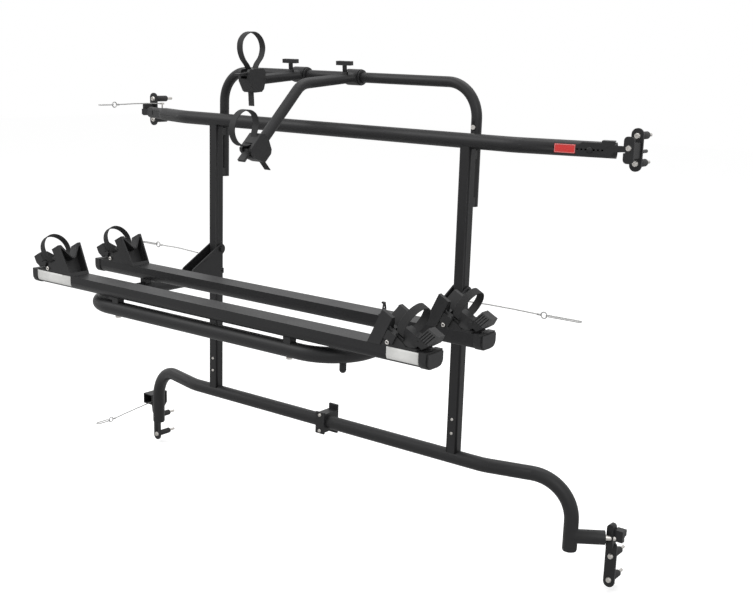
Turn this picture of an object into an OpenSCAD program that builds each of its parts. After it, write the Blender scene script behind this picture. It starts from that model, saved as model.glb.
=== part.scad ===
// Bike carrier for a pair of van rear doors, in millimetres.
// X runs across the van, Y towards the van and Z up. The origin is on the
// centre foot's pad, where the lower tube bears on the doors.

/* [Frame tubes] */
// Outside diameter of the crossbar, the lower tube and the platform tube
tube_d = 35; // [32:0.5:38]
// Wall of these tubes
tube_wall = 2; // [1.5:0.5:3]
// Height of the crossbar's axis over the lower tube's axis
bar_height = 760; // [740:5:820]
// Distance from the middle to the crossbar's bend
bar_knee_x = 520; // [490:5:560]
// Angle of the crossbar's end towards the van
bar_end_angle = 17; // [12:1:22]
// Length of the crossbar's end, from its bend
bar_end_length = 225; // [225:5:240]
// Distance from the middle to the lower tube's bend
low_knee_x = 485; // [470:5:520]
// Angle of the lower tube's end towards the van
low_end_angle = 14.5; // [12:0.5:20]
// Length from the lower tube's bend to its drop
low_end_length = 220; // [215:5:240]
// Radius of the lower tube's turn into its drop
drop_bend_radius = 100; // [80:5:110]
// Height of the drop, from the lower tube's axis to its closed foot
drop_height = 173; // [170:1:200]
// Radius of the gentle bends in both cross tubes
knee_radius = 120; // [90:5:150]

/* [Posts] */
// Distance between the centres of the posts
post_pitch = 800; // [760:10:860]
// Width of a post across the van
post_w = 31; // [27:1:32]
// Depth of a post towards the van
post_depth = 26; // [20:1:27]
// Corner radius of a post
post_corner = 5; // [2:0.5:8]
// Wall of a post
post_wall = 2; // [1.5:0.5:3]

/* [Centre foot] */
// Width of the foot's plates
foot_w = 28; // [20:1:40]
// Height of the foot's front plate
foot_front_h = 58; // [52:1:70]
// Height of the foot's pad
foot_pad_h = 78; // [60:1:100]
// Distance from the lower tube's axis to the pad's face
foot_reach = 37; // [32:1:60]

/* [Hoop] */
// Outside diameter of the hoop and of the arms' tubes
hoop_d = 25; // [22:0.5:28]
// Wall of the hoop
hoop_wall = 1.5; // [1:0.25:2.5]
// Height of the hoop's top axis over the lower tube's axis
hoop_top = 889; // [870:1:960]
// Length of the hoop's legs below its top axis
hoop_leg = 282; // [270:1:300]
// Corner radius of the hoop
hoop_radius = 80; // [60:5:100]
// Gap between the crossbar and the hoop behind it
hoop_gap = 1.4; // [0.5:0.1:4]

/* [Arms] */
// Place of the short arm across the hoop
short_arm_x = -129; // [-200:1:-110]
// Place of the long arm across the hoop
long_arm_x = 44; // [20:1:100]
// Droop of both arms where they leave the hoop
arm_droop = 4.5; // [0:0.5:10]
// Length of the short arm from the hoop to its head
short_arm_length = 183; // [170:1:220]
// Length of the long arm from the hoop to its bend
long_arm_length = 203; // [190:1:230]
// Length of the long arm from its bend to its head
long_arm_reach = 207; // [190:1:240]
// Bend of the long arm
long_arm_bend = 39; // [20:1:45]
// Radius of the long arm's bend
arm_bend_radius = 60; // [50:1:90]
// Width of an arm's collar along the hoop
collar_w = 48; // [44:1:60]
// Width of an arm's head across the arm
head_w = 36; // [32:1:44]
// Length of an arm's head along the arm
head_len = 58; // [50:1:70]
// Outside diameter of an arm's strap loop
arm_loop_d = 84; // [78:1:100]

/* [Platform] */
// Height of the fold axis over the lower tube's axis
pivot_height = 409.5; // [395:0.5:430]
// Depth of the platform's U tube in front of the fold axis
u_reach = 460; // [450:5:480]
// Corner radius of the U tube
u_radius = 100; // [80:5:140]
// Drop of the U tube's axis below the fold axis
u_drop = 74.8; // [72:0.1:80]
// Thickness of a hinge plate
hinge_plate = 4; // [3:0.5:4.5]
// Diameter of the hinge pins
pin_d = 10; // [8:1:12]

/* [Rails] */
// Length of a rail with its caps
rail_length = 1202; // [1160:2:1240]
// Distance of the rails' middle to the right of the posts' middle
rail_shift = 33; // [20:1:40]
// Width of a rail
rail_w = 55; // [50:1:60]
// Radius of a rail's lower corners
rail_corner = 16; // [10:1:16]
// Height of a rail
rail_h = 32.5; // [30:0.5:36]
// Wall of a rail
rail_wall = 2; // [1.5:0.5:3]
// Distance from the fold axis to the rear rail's middle
rear_rail_y = 256; // [250:1:262]
// Distance between the middles of the two rails
rail_pitch = 197; // [190:1:202]
// Length of an end cap
cap_length = 21; // [18:1:30]

/* [Wheel holders] */
// Place of the left holders' inner foot from the middle
left_holder_x = 417; // [414:1:440]
// Place of the right holders' inner foot from the middle
right_holder_x = 489; // [480:1:490]
// Lean of the V plate, outwards from upright
chute_lean = 28; // [22:1:32]
// Thickness of the V plate
chute_t = 28; // [24:1:32]
// Height of the V plate along its lean
chute_h = 82; // [76:1:92]
// Width of the V plate at its foot
chute_foot_w = 56; // [50:1:60]
// Width of the V plate at its top
chute_top_w = 68; // [60:1:74]
// Outside diameter of a wheel strap's loop
wheel_loop_d = 76; // [70:1:84]
// Width of the straps
strap_w = 18; // [14:1:22]
// Thickness of the straps
strap_t = 2.4; // [2:0.2:3]

/* [Door hinge clamps] */
// Distance between the two studs of an upper clamp
upper_pitch = 60; // [56:1:66]
// Distance between the two studs of a lower clamp
lower_pitch = 60; // [56:1:66]
// Diameter of the studs
stud_d = 8; // [6:1:10]
// Length of the studs behind a clamp plate's face
stud_length = 67; // [62:1:80]
// Diameter of the rubber distance sleeves
sleeve_d = 17; // [15:1:20]
// Length of the rubber distance sleeves
sleeve_length = 46; // [30:1:56]
// Width of a clamp plate
clamp_w = 28; // [26:1:34]
// Thickness of a clamp plate
clamp_t = 5; // [4:0.5:6]

/* [Safety cables] */
// Diameter of the steel cables
cable_d = 2.6; // [2:0.2:3.2]
// Diameter of the lock pins' wire
wire_d = 2.6; // [2:0.2:3.5]

/* [Hidden] */
$fn = 48;
black = "#2b2b2d";
plastic = "#313234";
rubber = "#3a3a3b";
steel = "#b4b1ac";
wire = "#cfcfcf";

// Routes of the four safety cables, from their anchor to their lock pin
upper_left_route = [
    [-656, 0, bar_height + 28.5], [-656, -10, bar_height + 29], [-656, -20.5, bar_height + 29],
    [-656, -30.5, bar_height + 29.5], [-656, -41, bar_height + 29.5],
    [-656, -51, bar_height + 30], [-656, -61, bar_height + 30], [-656, -71.5, bar_height + 30],
    [-656, -81.5, bar_height + 30], [-656, -92, bar_height + 30], [-656, -102, bar_height + 30],
    [-656, -112, bar_height + 29.5], [-656, -122.5, bar_height + 29.5],
    [-656, -132.5, bar_height + 29], [-656, -143, bar_height + 29],
    [-656, -153, bar_height + 28.5]];
lower_left_route = [
    [-734, 24, -120], [-735, 14, -121.5], [-735.5, 4.5, -122.5], [-736.5, -5.5, -124],
    [-737, -15, -125.5], [-738, -25, -127], [-738.5, -34.5, -128], [-739.5, -44.5, -130],
    [-740.5, -54.5, -131.5], [-741, -64, -133], [-742, -74, -134.5], [-742.5, -83.5, -136],
    [-743.5, -93.5, -138], [-744, -103, -139.5], [-745, -113, -141.5]];
platform_left_route = [[-420.5, -87, 400], [-428, -87, 400], [-437, -87, 400.5],
    [-446, -87, 401], [-455, -87, 401.5], [-464, -87, 402], [-473, -87, 402.5],
    [-482, -87, 403], [-491, -87, 403.5], [-500, -87, 403.5], [-510, -87, 403.5],
    [-520, -87, 403.5], [-530, -87, 403.5], [-540, -87, 403], [-551, -87, 403],
    [-562, -87, 403]];
platform_right_route = [[420.5, -87, 400], [430, -87, 400], [442, -87, 400.5],
    [454, -87, 401], [466, -87, 401.5], [478, -87, 402], [490, -87, 402],
    [502, -87, 402.5], [514, -87, 402.5], [526, -87, 402.5], [538, -87, 402.5],
    [550, -87, 402.5], [562, -87, 402.5], [574, -87, 402.5], [586, -87, 402],
    [598, -87, 402], [610, -87, 401.5], [620, -87, 401.5], [631, -87, 401]];

// Clearances
run = 0.05;          // radial clearance of a running fit
seam = 0.05;         // hair seam where a bend meets a straight
slip = 0.6;          // gap of the slide plate round the crossbar
seat = 0.1;          // gap of a part that slides on a flat seat
nub = 0.02;          // lap of a cut past the face it opens

// Places worked out from the sizes above
post_x = post_pitch / 2;
bar_end_x = bar_knee_x + bar_end_length * cos(bar_end_angle);
bar_end_y = bar_end_length * sin(bar_end_angle);
drop_x = low_knee_x + low_end_length * cos(low_end_angle);
drop_y = low_end_length * sin(low_end_angle);
hoop_y = tube_d / 2 + hoop_gap + hoop_d / 2;
saddle_gap = 10;
rail_top = pivot_height - u_drop + tube_d / 2 + saddle_gap + rail_h;
front_rail_y = -(rear_rail_y + rail_pitch);
rail_end = rail_length / 2 - cap_length;
bore_d = pin_d + 2 * run;

// Moves the frame so that the foot's pad face lies at the origin
module carrier() translate([0, -foot_reach, 0]) children();

// Everything that turns with the platform, seen from the fold axis
module platform() carrier() translate([0, 0, pivot_height]) children();

// A left and a right copy
module both() {
    children();
    mirror([1, 0, 0]) children();
}

module ring(d, wall) difference() {
    circle(d = d);
    circle(d = d - 2 * wall);
}

module rounded(w, h, r) {
    square([w - 2 * r, h], center = true);
    square([w, h - 2 * r], center = true);
    for (x = [-1, 1], y = [-1, 1]) translate([x * (w / 2 - r), y * (h / 2 - r)]) circle(r);
}

// A stadium outline: a strip with round ends, its height along the second axis
module stadium(w, h) {
    square([w, h - w], center = true);
    for (s = [-1, 1]) translate([0, s * (h - w) / 2]) circle(d = w);
}

// Solids whose axis lies along X or Y
module rod_x(d, length) rotate([0, 90, 0]) cylinder(d = d, h = length);
module rod_y(d, length) rotate([-90, 0, 0]) cylinder(d = d, h = length);

// A tube run that starts along +X; each step is [straight length, bend radius,
// bend angle towards +Y, roll about the new heading]
module pipe_run(d, wall, steps, i = 0) {
    s = steps[i];
    hollow = 2 * wall < d;
    before = hollow && i > 0 ? seam : 0;
    after = hollow && s[2] > 0 ? seam : 0;
    translate([before, 0, 0]) rotate([0, 90, 0]) linear_extrude(s[0] - before - after)
        pipe_section(d, wall);
    if (s[2] > 0) translate([s[0], s[1], 0]) {
        rotate([0, 0, -90]) rotate_extrude(angle = s[2], $fn = 96)
            translate([s[1], 0]) pipe_section(d, wall);
        if (hollow) translate([0, -s[1], 0]) backing_ring(d, wall);
        rotate([0, 0, s[2]]) translate([0, -s[1], 0]) {
            if (hollow) backing_ring(d, wall);
            if (i + 1 < len(steps)) rotate([s[3], 0, 0]) pipe_run(d, wall, steps, i + 1);
        }
    }
}
// Holds a bend to its straight inside the wall, across a hair seam
module backing_ring(d, wall) translate([-1.5, 0, 0]) rotate([0, 90, 0])
    linear_extrude(3) ring(d - wall, wall);
module pipe_section(d, wall) {
    if (2 * wall < d) ring(d, wall); else circle(d = d);
}

// A button-head screw along +Y: head in front of the origin, shank behind it
module button_screw(shank, length, head, head_h) {
    rod_y(shank, length);
    translate([0, -head_h, 0]) difference() {
        rotate([-90, 0, 0]) cylinder(d1 = head * 0.72, d2 = head, h = head_h, $fn = 32);
        translate([0, -nub, 0]) rod_y(head * 0.35, head_h * 0.5);
    }
}

// Right half of the crossbar's axis, from the middle outwards
knee_tangent = knee_radius * tan(bar_end_angle / 2);
low_tangent = knee_radius * tan(low_end_angle / 2);
flat_length = 112;
flat_h = 31;
flat_t = 16;
flat_taper = 34;

module crossbar_half(d, wall, end_cut) pipe_run(d, wall,
    [[bar_knee_x - knee_tangent, knee_radius, bar_end_angle, 0],
     [bar_end_length - knee_tangent - end_cut, 0, 0, 0]]);

// Frame of the crossbar's end: X outwards from the bend, Y back, Z up
module bar_end_frame() translate([bar_knee_x, 0, bar_height]) rotate([0, 0, bar_end_angle])
    children();

slide_slot_d = 8.5;
slide_bolt_u = 170;
slide_in = 15;
slide_out = 30;
flat_slot = [4, 12];
flat_slot_u = 36;
cable_bolt_u = 142;

module upper_crossbar() color(black) carrier() {
    difference() {
        union() {
            translate([0, 0, bar_height]) crossbar_half(tube_d, tube_wall, 0);
            mirror([1, 0, 0]) translate([0, 0, bar_height])
                crossbar_half(tube_d, tube_wall, flat_length - 6);
        }
        bar_end_frame() translate([slide_bolt_u + (slide_out - slide_in) / 2, 0, 0])
            rotate([90, 90, 0]) linear_extrude(tube_d)
                stadium(slide_slot_d, slide_slot_d + slide_in + slide_out);
    }
    mirror([1, 0, 0]) bar_end_frame() flattened_end();
}

// The pressed end of the crossbar: a short taper and a flat tongue with a slot
module flattened_end() {
    flat_start = bar_end_length - flat_length;
    difference() {
        hull() {
            translate([flat_start, 0, 0]) rod_x(tube_d - 0.6, 4, $fn = 32);
            translate([flat_start + flat_taper - 1, 0, 0]) rotate([0, 90, 0])
                linear_extrude(1) rounded(flat_h + 0.6, flat_t + 0.6, flat_t / 2, $fn = 20);
        }
        cable_bolt();
    }
    difference() {
        translate([flat_start + flat_taper - 3, 0, 0]) flat_tongue(flat_length - flat_taper + 3);
        translate([bar_end_length - flat_slot_u, 0, 0])
            cube([flat_slot[0], 2 * flat_t, flat_slot[1]], center = true);
        cable_bolt();
    }
}
// The upper left cable's bolt, upright in the flat end's top
cable_bolt_d = 4;
cable_bolt_l = 21;
module cable_bolt() translate([cable_bolt_u, 0, flat_h / 2 - 9])
    cylinder(d = cable_bolt_d, h = cable_bolt_l, $fn = 24);

module flat_tongue(length) intersection() {
    rotate([0, 90, 0]) linear_extrude(length) rounded(flat_h, flat_t, flat_t / 2 - 0.5);
    translate([0, -flat_t, 0]) union() {
        translate([0, 0, -flat_h]) cube([length - 14, 2 * flat_t, 2 * flat_h]);
        translate([length - 14, 0, 0]) rotate([-90, 0, 0]) linear_extrude(2 * flat_t)
            tongue_end();
    }
}
module tongue_end() {
    translate([-1, -flat_h / 2 + 14]) square([15, flat_h - 28]);
    for (s = [-1, 1]) translate([0, s * (flat_h / 2 - 14)]) circle(r = 14);
}

stub_angle = 34;
stub_length = 80;
stub_z = -138;
stub_d = 34;
stub_plug = 12;
rod_d = 14;

module lower_tube_half() {
    pipe_run(tube_d, tube_wall,
        [[low_knee_x - low_tangent, knee_radius, low_end_angle, -90],
         [low_end_length - low_tangent - drop_bend_radius, drop_bend_radius, 90, 0],
         [drop_height - drop_bend_radius - 3, 0, 0, 0]]);
    translate([drop_x, drop_y, -drop_height]) drop_foot();
}
module drop_foot() {
    cylinder(d1 = tube_d - 6, d2 = tube_d - 0.4, h = 3.2);
    cylinder(d = tube_d - tube_wall, h = 6);
}
module stub_frame() translate([drop_x, drop_y, stub_z]) rotate([0, 0, stub_angle]) children();

module lower_tube() color(black) carrier() {
    both() lower_tube_half();
    stub_frame() difference() {
        translate([6, 0, 0]) rod_x(stub_d, stub_length - 6);
        cylinder(d = tube_d - 0.7 * tube_wall, h = 60, center = true);
        translate([6, 0, 0]) rod_x(stub_d - 2 * tube_wall, stub_length - stub_plug - 6);
        rod_x(rod_d + 2 * run, stub_length + 1);
        translate([stub_length / 2, 0, 0]) cylinder(d = 4, h = stub_d);
    }
}

module posts() color(black) carrier() both() difference() {
    translate([post_x, 0, 0]) linear_extrude(bar_height) difference() {
        rounded(post_w, post_depth, post_corner);
        rounded(post_w - 2 * post_wall, post_depth - 2 * post_wall, post_corner - post_wall);
    }
    for (z = [0, bar_height]) translate([0, 0, z]) rod_x(tube_d, 2 * post_x);
    translate([0, 0, pivot_height]) rod_x(pin_d, 2 * post_x);
    for (z = post_screw_z) translate([post_x, -post_depth, z]) rod_y(post_screw_d, post_depth);
}
post_screw_z = [62, 97];
post_screw_d = 5;

foot_plate_t = 5;
foot_screw_z = 21.5;
foot_screw_d = 6;

// The foot is a block bored for the tube, with a plate in front and a pad behind
module foot_bracket() color(black) carrier() difference() {
    union() {
        translate([-foot_w / 2, -tube_d / 2 - 1 - foot_plate_t, -foot_front_h / 2])
            cube([foot_w, foot_plate_t, foot_front_h]);
        translate([-foot_w / 2, -tube_d / 2 - 1, -foot_front_h / 2 + 4])
            cube([foot_w, tube_d / 2 + 1 + foot_reach - 4, foot_front_h - 8]);
        translate([-foot_w / 2, foot_reach - 6, -foot_pad_h / 2])
            cube([foot_w, 6, foot_pad_h]);
    }
    translate([-foot_w, 0, 0]) rod_x(tube_d, 2 * foot_w);
    for (s = [-1, 1]) translate([0, -tube_d, s * foot_screw_z]) rod_y(foot_screw_d, tube_d + 12);
}

// Screws that stay with the frame: at the foot, at the posts, at the crossbar's flat end and
// the four stud screws of the two left clamps
module frame_screws() color(steel) carrier() {
    for (s = [-1, 1]) translate([0, -tube_d / 2 - 1 - foot_plate_t, s * foot_screw_z])
        button_screw(foot_screw_d, 34, 10, 3);
    both() for (z = post_screw_z) translate([post_x, -post_depth / 2, z])
        button_screw(post_screw_d, post_depth / 2, 8, 2);
    mirror([1, 0, 0]) bar_end_frame() cable_bolt();
    translate(upper_left_route[0] + [0, foot_reach + 4.5, 0]) cube([8, 9, 5], center = true);
    mirror([1, 0, 0]) {
        upper_left_place() clamp_studs(upper_pitch);
        lower_clamp_place() clamp_studs(lower_pitch);
    }
}

reflector_u = 93;
reflector_size = [46, 5, 19];

// Light strip held flat against the crossbar's end
module reflector() color("#c81e1e") carrier() bar_end_frame() difference() {
    translate([reflector_u, -tube_d / 2 - 3, -reflector_size[2] / 2])
        cube([reflector_size[0], reflector_size[1] + 1, reflector_size[2]]);
    translate([reflector_u - 1, 0, 0]) rod_x(tube_d, reflector_size[0] + 2);
}

// Hinge clamps: the studs' plate stands behind the crossbar's end
upper_clamp_out = 30;
upper_clamp_back = 33;
lower_clamp_out = 77;
lower_clamp_back = 61;
upper_clamp_x = bar_end_x + upper_clamp_out;
upper_clamp_y = bar_end_y + upper_clamp_back;
upper_clamp_z = bar_height + 2;
upper_clamp_h = 94;
lower_clamp_x = drop_x + lower_clamp_out;
lower_clamp_y = drop_y + lower_clamp_back;
lower_clamp_z = -218;
clamp_web_t = 8;
stud_head_d = 15;
stud_head_h = 4;
stud_shoulder = 0.5;
stud_end_d = stud_d - 0.4;

module upper_clamp_place() translate([upper_clamp_x, upper_clamp_y, upper_clamp_z]) children();
module lower_clamp_place() translate([lower_clamp_x, lower_clamp_y, lower_clamp_z]) children();

// A plate with two stud holes, its front face at Y 0
module clamp_plate(pitch, height, up) difference() {
    rotate([-90, 0, 0]) linear_extrude(clamp_t) translate([0, -up / 2])
        stadium(clamp_w, height + up);
    for (s = [-1, 1]) translate([0, -1, s * pitch / 2]) rod_y(stud_d, clamp_t + 2);
}
module clamp_studs(pitch) for (s = [-1, 1]) translate([0, 0, s * pitch / 2]) {
        button_screw(stud_d, clamp_t + sleeve_length + stud_shoulder, stud_head_d, stud_head_h);
        translate([0, 1, 0]) rod_y(stud_end_d, clamp_t + stud_length - 1);
    }
module clamp_sleeves(pitch) for (s = [-1, 1]) translate([0, clamp_t, s * pitch / 2])
    difference() {
        rod_y(sleeve_d, sleeve_length);
        translate([0, -1, 0]) rod_y(stud_d, sleeve_length + 2);
    }

socket_size = [22, 16];
upper_left_in = 9;
upper_left_up = 4.5;
module upper_left_place() translate([-upper_left_in, 0, upper_left_up]) upper_clamp_place()
    children();

// Upper left: the plate with a web and a square socket on the crossbar's flat end
module upper_left_clamp() color(black) carrier() mirror([1, 0, 0]) difference() {
    union() {
        upper_left_place() {
            clamp_plate(upper_pitch, upper_clamp_h, 0);
            translate([-clamp_web_t / 2, bar_end_y - 4 - upper_clamp_y, -17])
                cube([clamp_web_t, upper_clamp_y - bar_end_y + 4 + 0.5, 34]);
        }
        translate([bar_end_x - 9, bar_end_y - socket_size[0] / 2 + 3, bar_height - socket_size[1] / 2])
            cube([upper_clamp_x - upper_left_in - bar_end_x + 9 + clamp_web_t / 2, socket_size[0],
                socket_size[1]]);
    }
    bar_end_frame() flattened_end_envelope();
}
module flattened_end_envelope() translate([0, -flat_t / 2, -flat_h / 2])
    cube([bar_end_length, flat_t, flat_h]);

// Lower left: a strap behind the tube's foot, a square hollow arm forwards from its top and a
// thin web from the arm to the tube
lower_strap_h = 2 * clamp_w + lower_pitch - 20;
lower_strap_up = 20;
arm_box = [38, 31];
arm_box_wall = 3;
arm_box_x = lower_clamp_x - 40;
arm_box_z = lower_clamp_z + 87;
web_t = 4;
cable_face_y = foot_reach + lower_left_route[0][1];

module lower_left_clamp() color(black) carrier() mirror([1, 0, 0]) {
    lower_clamp_place() {
        clamp_plate(lower_pitch, lower_strap_h, lower_strap_up);
        rotate([90, 0, 0]) translate([0, 0, -clamp_t]) linear_extrude(clamp_t)
            polygon([[-clamp_w / 2, 40], [clamp_w / 2, 40], [clamp_w / 2, 74],
                [clamp_w / 2 - 14, 120], [-clamp_w / 2 - 28, 120], [-clamp_w / 2 - 28, 84]]);
    }
    difference() {
        translate([arm_box_x, cable_face_y, arm_box_z])
            cube([arm_box[0], lower_clamp_y - cable_face_y + 1, arm_box[1]]);
        translate([arm_box_x + arm_box_wall, cable_face_y - 1, arm_box_z + arm_box_wall])
            cube([arm_box[0] - 2 * arm_box_wall, lower_clamp_y - cable_face_y - 5,
                arm_box[1] - 2 * arm_box_wall]);
    }
    difference() {
        translate([0, cable_face_y + web_t, 0]) rotate([90, 0, 0]) linear_extrude(web_t)
            polygon([[drop_x + 10, arm_box_z + 27], [arm_box_x + 2, arm_box_z + 27],
                [arm_box_x + 2, arm_box_z + 1], [arm_box_x - 2, arm_box_z - 25],
                [drop_x + 10, arm_box_z - 9]]);
        translate([drop_x, drop_y, -drop_height]) cylinder(d = tube_d, h = drop_height);
    }
}

module left_sleeves() color(rubber) carrier() mirror([1, 0, 0]) {
    upper_left_place() clamp_sleeves(upper_pitch);
    lower_clamp_place() clamp_sleeves(lower_pitch);
}

guide_z = [bar_height - 140, bar_height - 32];
guide_h = 20;

// Saddles that hold the hoop's legs off the posts' backs
module hoop_guides() color(plastic) carrier() both() for (z = guide_z) difference() {
    translate([post_x - 11, post_depth / 2, z - guide_h / 2])
        cube([22, hoop_y - post_depth / 2 - 3, guide_h]);
    translate([post_x, hoop_y, 0]) cylinder(d = hoop_d + 2 * seat, h = bar_height);
}

// Fold pins: a head on the inner side and a nut on the outer side
pin_head_d = 17;
pin_head_h = 6;
hinge_gap = 1;
hinge_out = post_w / 2 + hinge_gap + hinge_plate;

module hinge_pins() color(steel) platform() both() {
    translate([post_x - hinge_out - seat, 0, 0]) rod_x(pin_d, 2 * (hinge_out + seat));
    for (s = [-1, 1]) translate([post_x + s * (hinge_out + seat + pin_head_h / 2), 0, 0])
        rotate([0, 90, 0]) cylinder(d = pin_head_d, h = pin_head_h, center = true, $fn = 6);
}

// Slide plate on the crossbar's right end
slide_t = 3;
slide_start = 139;
slide_end = 222;
slide_low = -15;
slide_high = 16;
tab_start = 195;
tongue_low = -1;
tongue_high = 12;
hole_pitch = 9;

module slide_plate_outline() {
    polygon([[slide_start, slide_low + 6], [slide_start + 12, slide_low],
        [slide_end - 8, slide_low], [slide_end, slide_low + 12], [slide_end + 20, tongue_low],
        [slide_end + 20, tongue_high], [slide_end + 3, tongue_high], [slide_end, slide_high],
        [slide_start + 14, slide_high], [slide_start, slide_high - 10]]);
}

module slide_plate_blank() translate([0, -tube_d / 2 - slip, 0]) rotate([90, 0, 0])
    linear_extrude(slide_t) slide_plate_outline();

module slide_plate() color(black) carrier() {
    bar_end_frame() difference() {
        union() {
            slide_plate_blank();
            translate([tab_start, -tube_d / 2 - slip - slide_t, tube_d / 2 + slip])
                cube([slide_end - tab_start, tube_d / 2 + slip + slide_t + 6, slide_t]);
            translate([tab_start, -tube_d / 2 - slip - slide_t, slide_high - 2])
                cube([slide_end - tab_start, slide_t, tube_d / 2 + slip - slide_high + 3]);
        }
        for (i = [0, 1, 2, 4, 5, 6]) translate([slide_bolt_u + (i - 3) * hole_pitch, -tube_d, 0])
            rod_y(4, tube_d, $fn = 24);
        translate([slide_bolt_u, -tube_d, 0]) rod_y(slide_slot_d - 0.5, tube_d);
    }
}

// Upper right clamp: a lobed front plate and a web to the studs' plate
lobe_x = upper_clamp_x + 5;
lobe_y = bar_end_y - 18;
lobe_w = 24;
lobe_h = 58;
lobe_t = 4;
lobe_bolt_z = upper_clamp_z + 6;
mid_stud = 52;

module upper_right_clamp() color(black) carrier() {
    difference() {
        union() {
            translate([lobe_x, lobe_y, upper_clamp_z + 2]) rotate([-90, 0, 0])
                linear_extrude(lobe_t) difference() {
                    rounded(lobe_w, lobe_h, 9);
                    translate([-lobe_w / 2, 0]) circle(r = 7);
                }
            translate([lobe_x - lobe_w / 2 - 8, lobe_y, bar_height + tongue_low])
                cube([16, lobe_t, tongue_high - tongue_low]);
        }
        translate([lobe_x, lobe_y - 1, lobe_bolt_z]) rod_y(stud_d, lobe_t + 2);
        bar_end_frame() slide_plate_blank();
    }
    difference() {
        translate([lobe_x - 2, lobe_y + lobe_t - 0.5, upper_clamp_z - 17])
            cube([clamp_web_t, upper_clamp_y - lobe_y - lobe_t + 2.5, 34]);
        translate([lobe_x, lobe_y - 1, lobe_bolt_z]) rod_y(stud_d, lobe_t + 20);
    }
    upper_clamp_place() clamp_plate(upper_pitch, upper_clamp_h, 0);
    translate([upper_clamp_x, upper_clamp_y + 2, upper_clamp_z - 5]) rod_y(stud_d, mid_stud);
}
module upper_right_sleeves() color(rubber) carrier()
    upper_clamp_place() clamp_sleeves(upper_pitch);

module upper_right_screws() color(steel) carrier() {
    upper_clamp_place() clamp_studs(upper_pitch);
    translate([lobe_x, lobe_y, lobe_bolt_z]) button_screw(stud_d, lobe_t + 8, 14, 4);
    bar_end_frame() translate([slide_bolt_u, -tube_d / 2 - slip - slide_t, 0])
        button_screw(slide_slot_d - 0.5, slide_t + slip + 8, 12, 3);
}

// Lower right clamp: strap, round-topped lug and square block, on a threaded rod
lug_z = stub_z;
rod_out = 30;
lug_w = 17;
lug_block = [22, 22, 28];

module lower_right_clamp() color(black) carrier() {
    lower_clamp_place() clamp_plate(lower_pitch, lower_strap_h, lower_strap_up);
    difference() {
        union() {
            translate([lower_clamp_x - lug_w / 2, lower_clamp_y - 14, lug_z - 22])
                cube([lug_w, 14 + clamp_t, 24]);
            translate([lower_clamp_x, lower_clamp_y - 14, lug_z + 12]) rotate([-90, 0, 0])
                linear_extrude(14 + clamp_t) stadium(lug_w, 44);
            translate([lower_clamp_x + lug_w / 2 - 1, lower_clamp_y - 8, lug_z - 6]) cube(lug_block);
        }
        stub_frame() rod_x(rod_d, stub_length + 60);
        lower_clamp_place() translate([0, -30, lower_pitch / 2]) rod_y(stud_head_d + 1, 30);
    }
}
module lower_right_sleeves() color(rubber) carrier()
    lower_clamp_place() clamp_sleeves(lower_pitch);
module lower_right_screws() color(steel) carrier() {
    lower_clamp_place() clamp_studs(lower_pitch);
    stub_frame() translate([stub_length - stub_plug - 14, 0, 0])
        rod_x(rod_d, stub_plug + 14 + rod_out);
}

// Hoop and its lock pin
lock_z = bar_height + 30;
lock_d = 6;

module hoop_run(d, wall) translate([-post_x, hoop_y, hoop_top - hoop_leg])
    rotate([0, 0, -90]) rotate([0, -90, 0]) pipe_run(d, wall,
        [[hoop_leg - hoop_radius, hoop_radius, 90, 0],
         [post_pitch - 2 * hoop_radius, hoop_radius, 90, 0],
         [hoop_leg - hoop_radius, 0, 0, 0]]);

module hoop() color(black) carrier() difference() {
    hoop_run(hoop_d, hoop_wall);
    translate([post_x, hoop_y - hoop_d, lock_z]) rod_y(lock_d, 2 * hoop_d);
}
module hoop_lock_pin() color(steel) carrier() translate([post_x, hoop_y - hoop_d / 2, lock_z]) {
    rod_y(lock_d, hoop_d);
    translate([0, -3, 0]) rod_y(11, 3);
}

// Arms: seen from the hoop's axis, each arm points along -Y
liner_t = 2;
ring_t = 2;
band_t = 3;
flange_t = 4;
flange_d = hoop_d + 12;
liner_d = hoop_d + 2 * run + 2 * liner_t;
ring_d = liner_d + 2 * run + 2 * ring_t;
band_d = ring_d + 2 * run + 2 * band_t;
band_w = collar_w - 2 * flange_t - 1;

module arm_place(x) carrier() translate([x, hoop_y, hoop_top]) children();

module sleeve_x(inner, outer, width) translate([-width / 2, 0, 0]) rotate([0, 90, 0])
    linear_extrude(width) difference() {
        circle(d = outer);
        circle(d = inner);
    }
module arm_liner() {
    sleeve_x(hoop_d + 2 * run, liner_d, collar_w);
    for (s = [-1, 1]) translate([s * (collar_w - flange_t) / 2, 0, 0])
        sleeve_x(hoop_d + 2 * run, flange_d, flange_t);
}
module arm_ring() sleeve_x(liner_d + 2 * run, ring_d, band_w + 0.6);

// Head's frame: origin at the tube's end, the arm's own direction along -Y
knob_y = 40;
knob_stem_d = 8;
head_socket = 22;

module arm_band() sleeve_x(ring_d + 2 * run, band_d, band_w);
module short_arm_pipe(d, wall) rotate([arm_droop, 0, 0]) rotate([0, 0, -90])
    pipe_run(d, wall, [[short_arm_length - head_len / 2 + head_socket, 0, 0, 0]]);
module long_arm_pipe(d, wall) rotate([arm_droop, 0, 0]) rotate([0, 0, -90]) rotate([-90, 0, 0])
    pipe_run(d, wall,
        [[long_arm_length - long_tangent, arm_bend_radius, long_arm_bend, 0],
         [long_arm_reach - long_tangent - head_len / 2 + head_socket, 0, 0, 0]]);
long_tangent = arm_bend_radius * tan(long_arm_bend / 2);

module arm_body() difference() {
    union() {
        difference() {
            children();
            translate([-collar_w, 0, 0]) rod_x(band_d - band_t, 2 * collar_w);
        }
        arm_band();
        rotate([arm_droop, 0, 0]) translate([0, -knob_y, hoop_d / 2 - 2])
            cylinder(d = 16, h = 6);
    }
    rotate([arm_droop, 0, 0]) translate([0, -knob_y, 0]) cylinder(d = knob_stem_d + 2 * run, h = 60);
}

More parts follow.
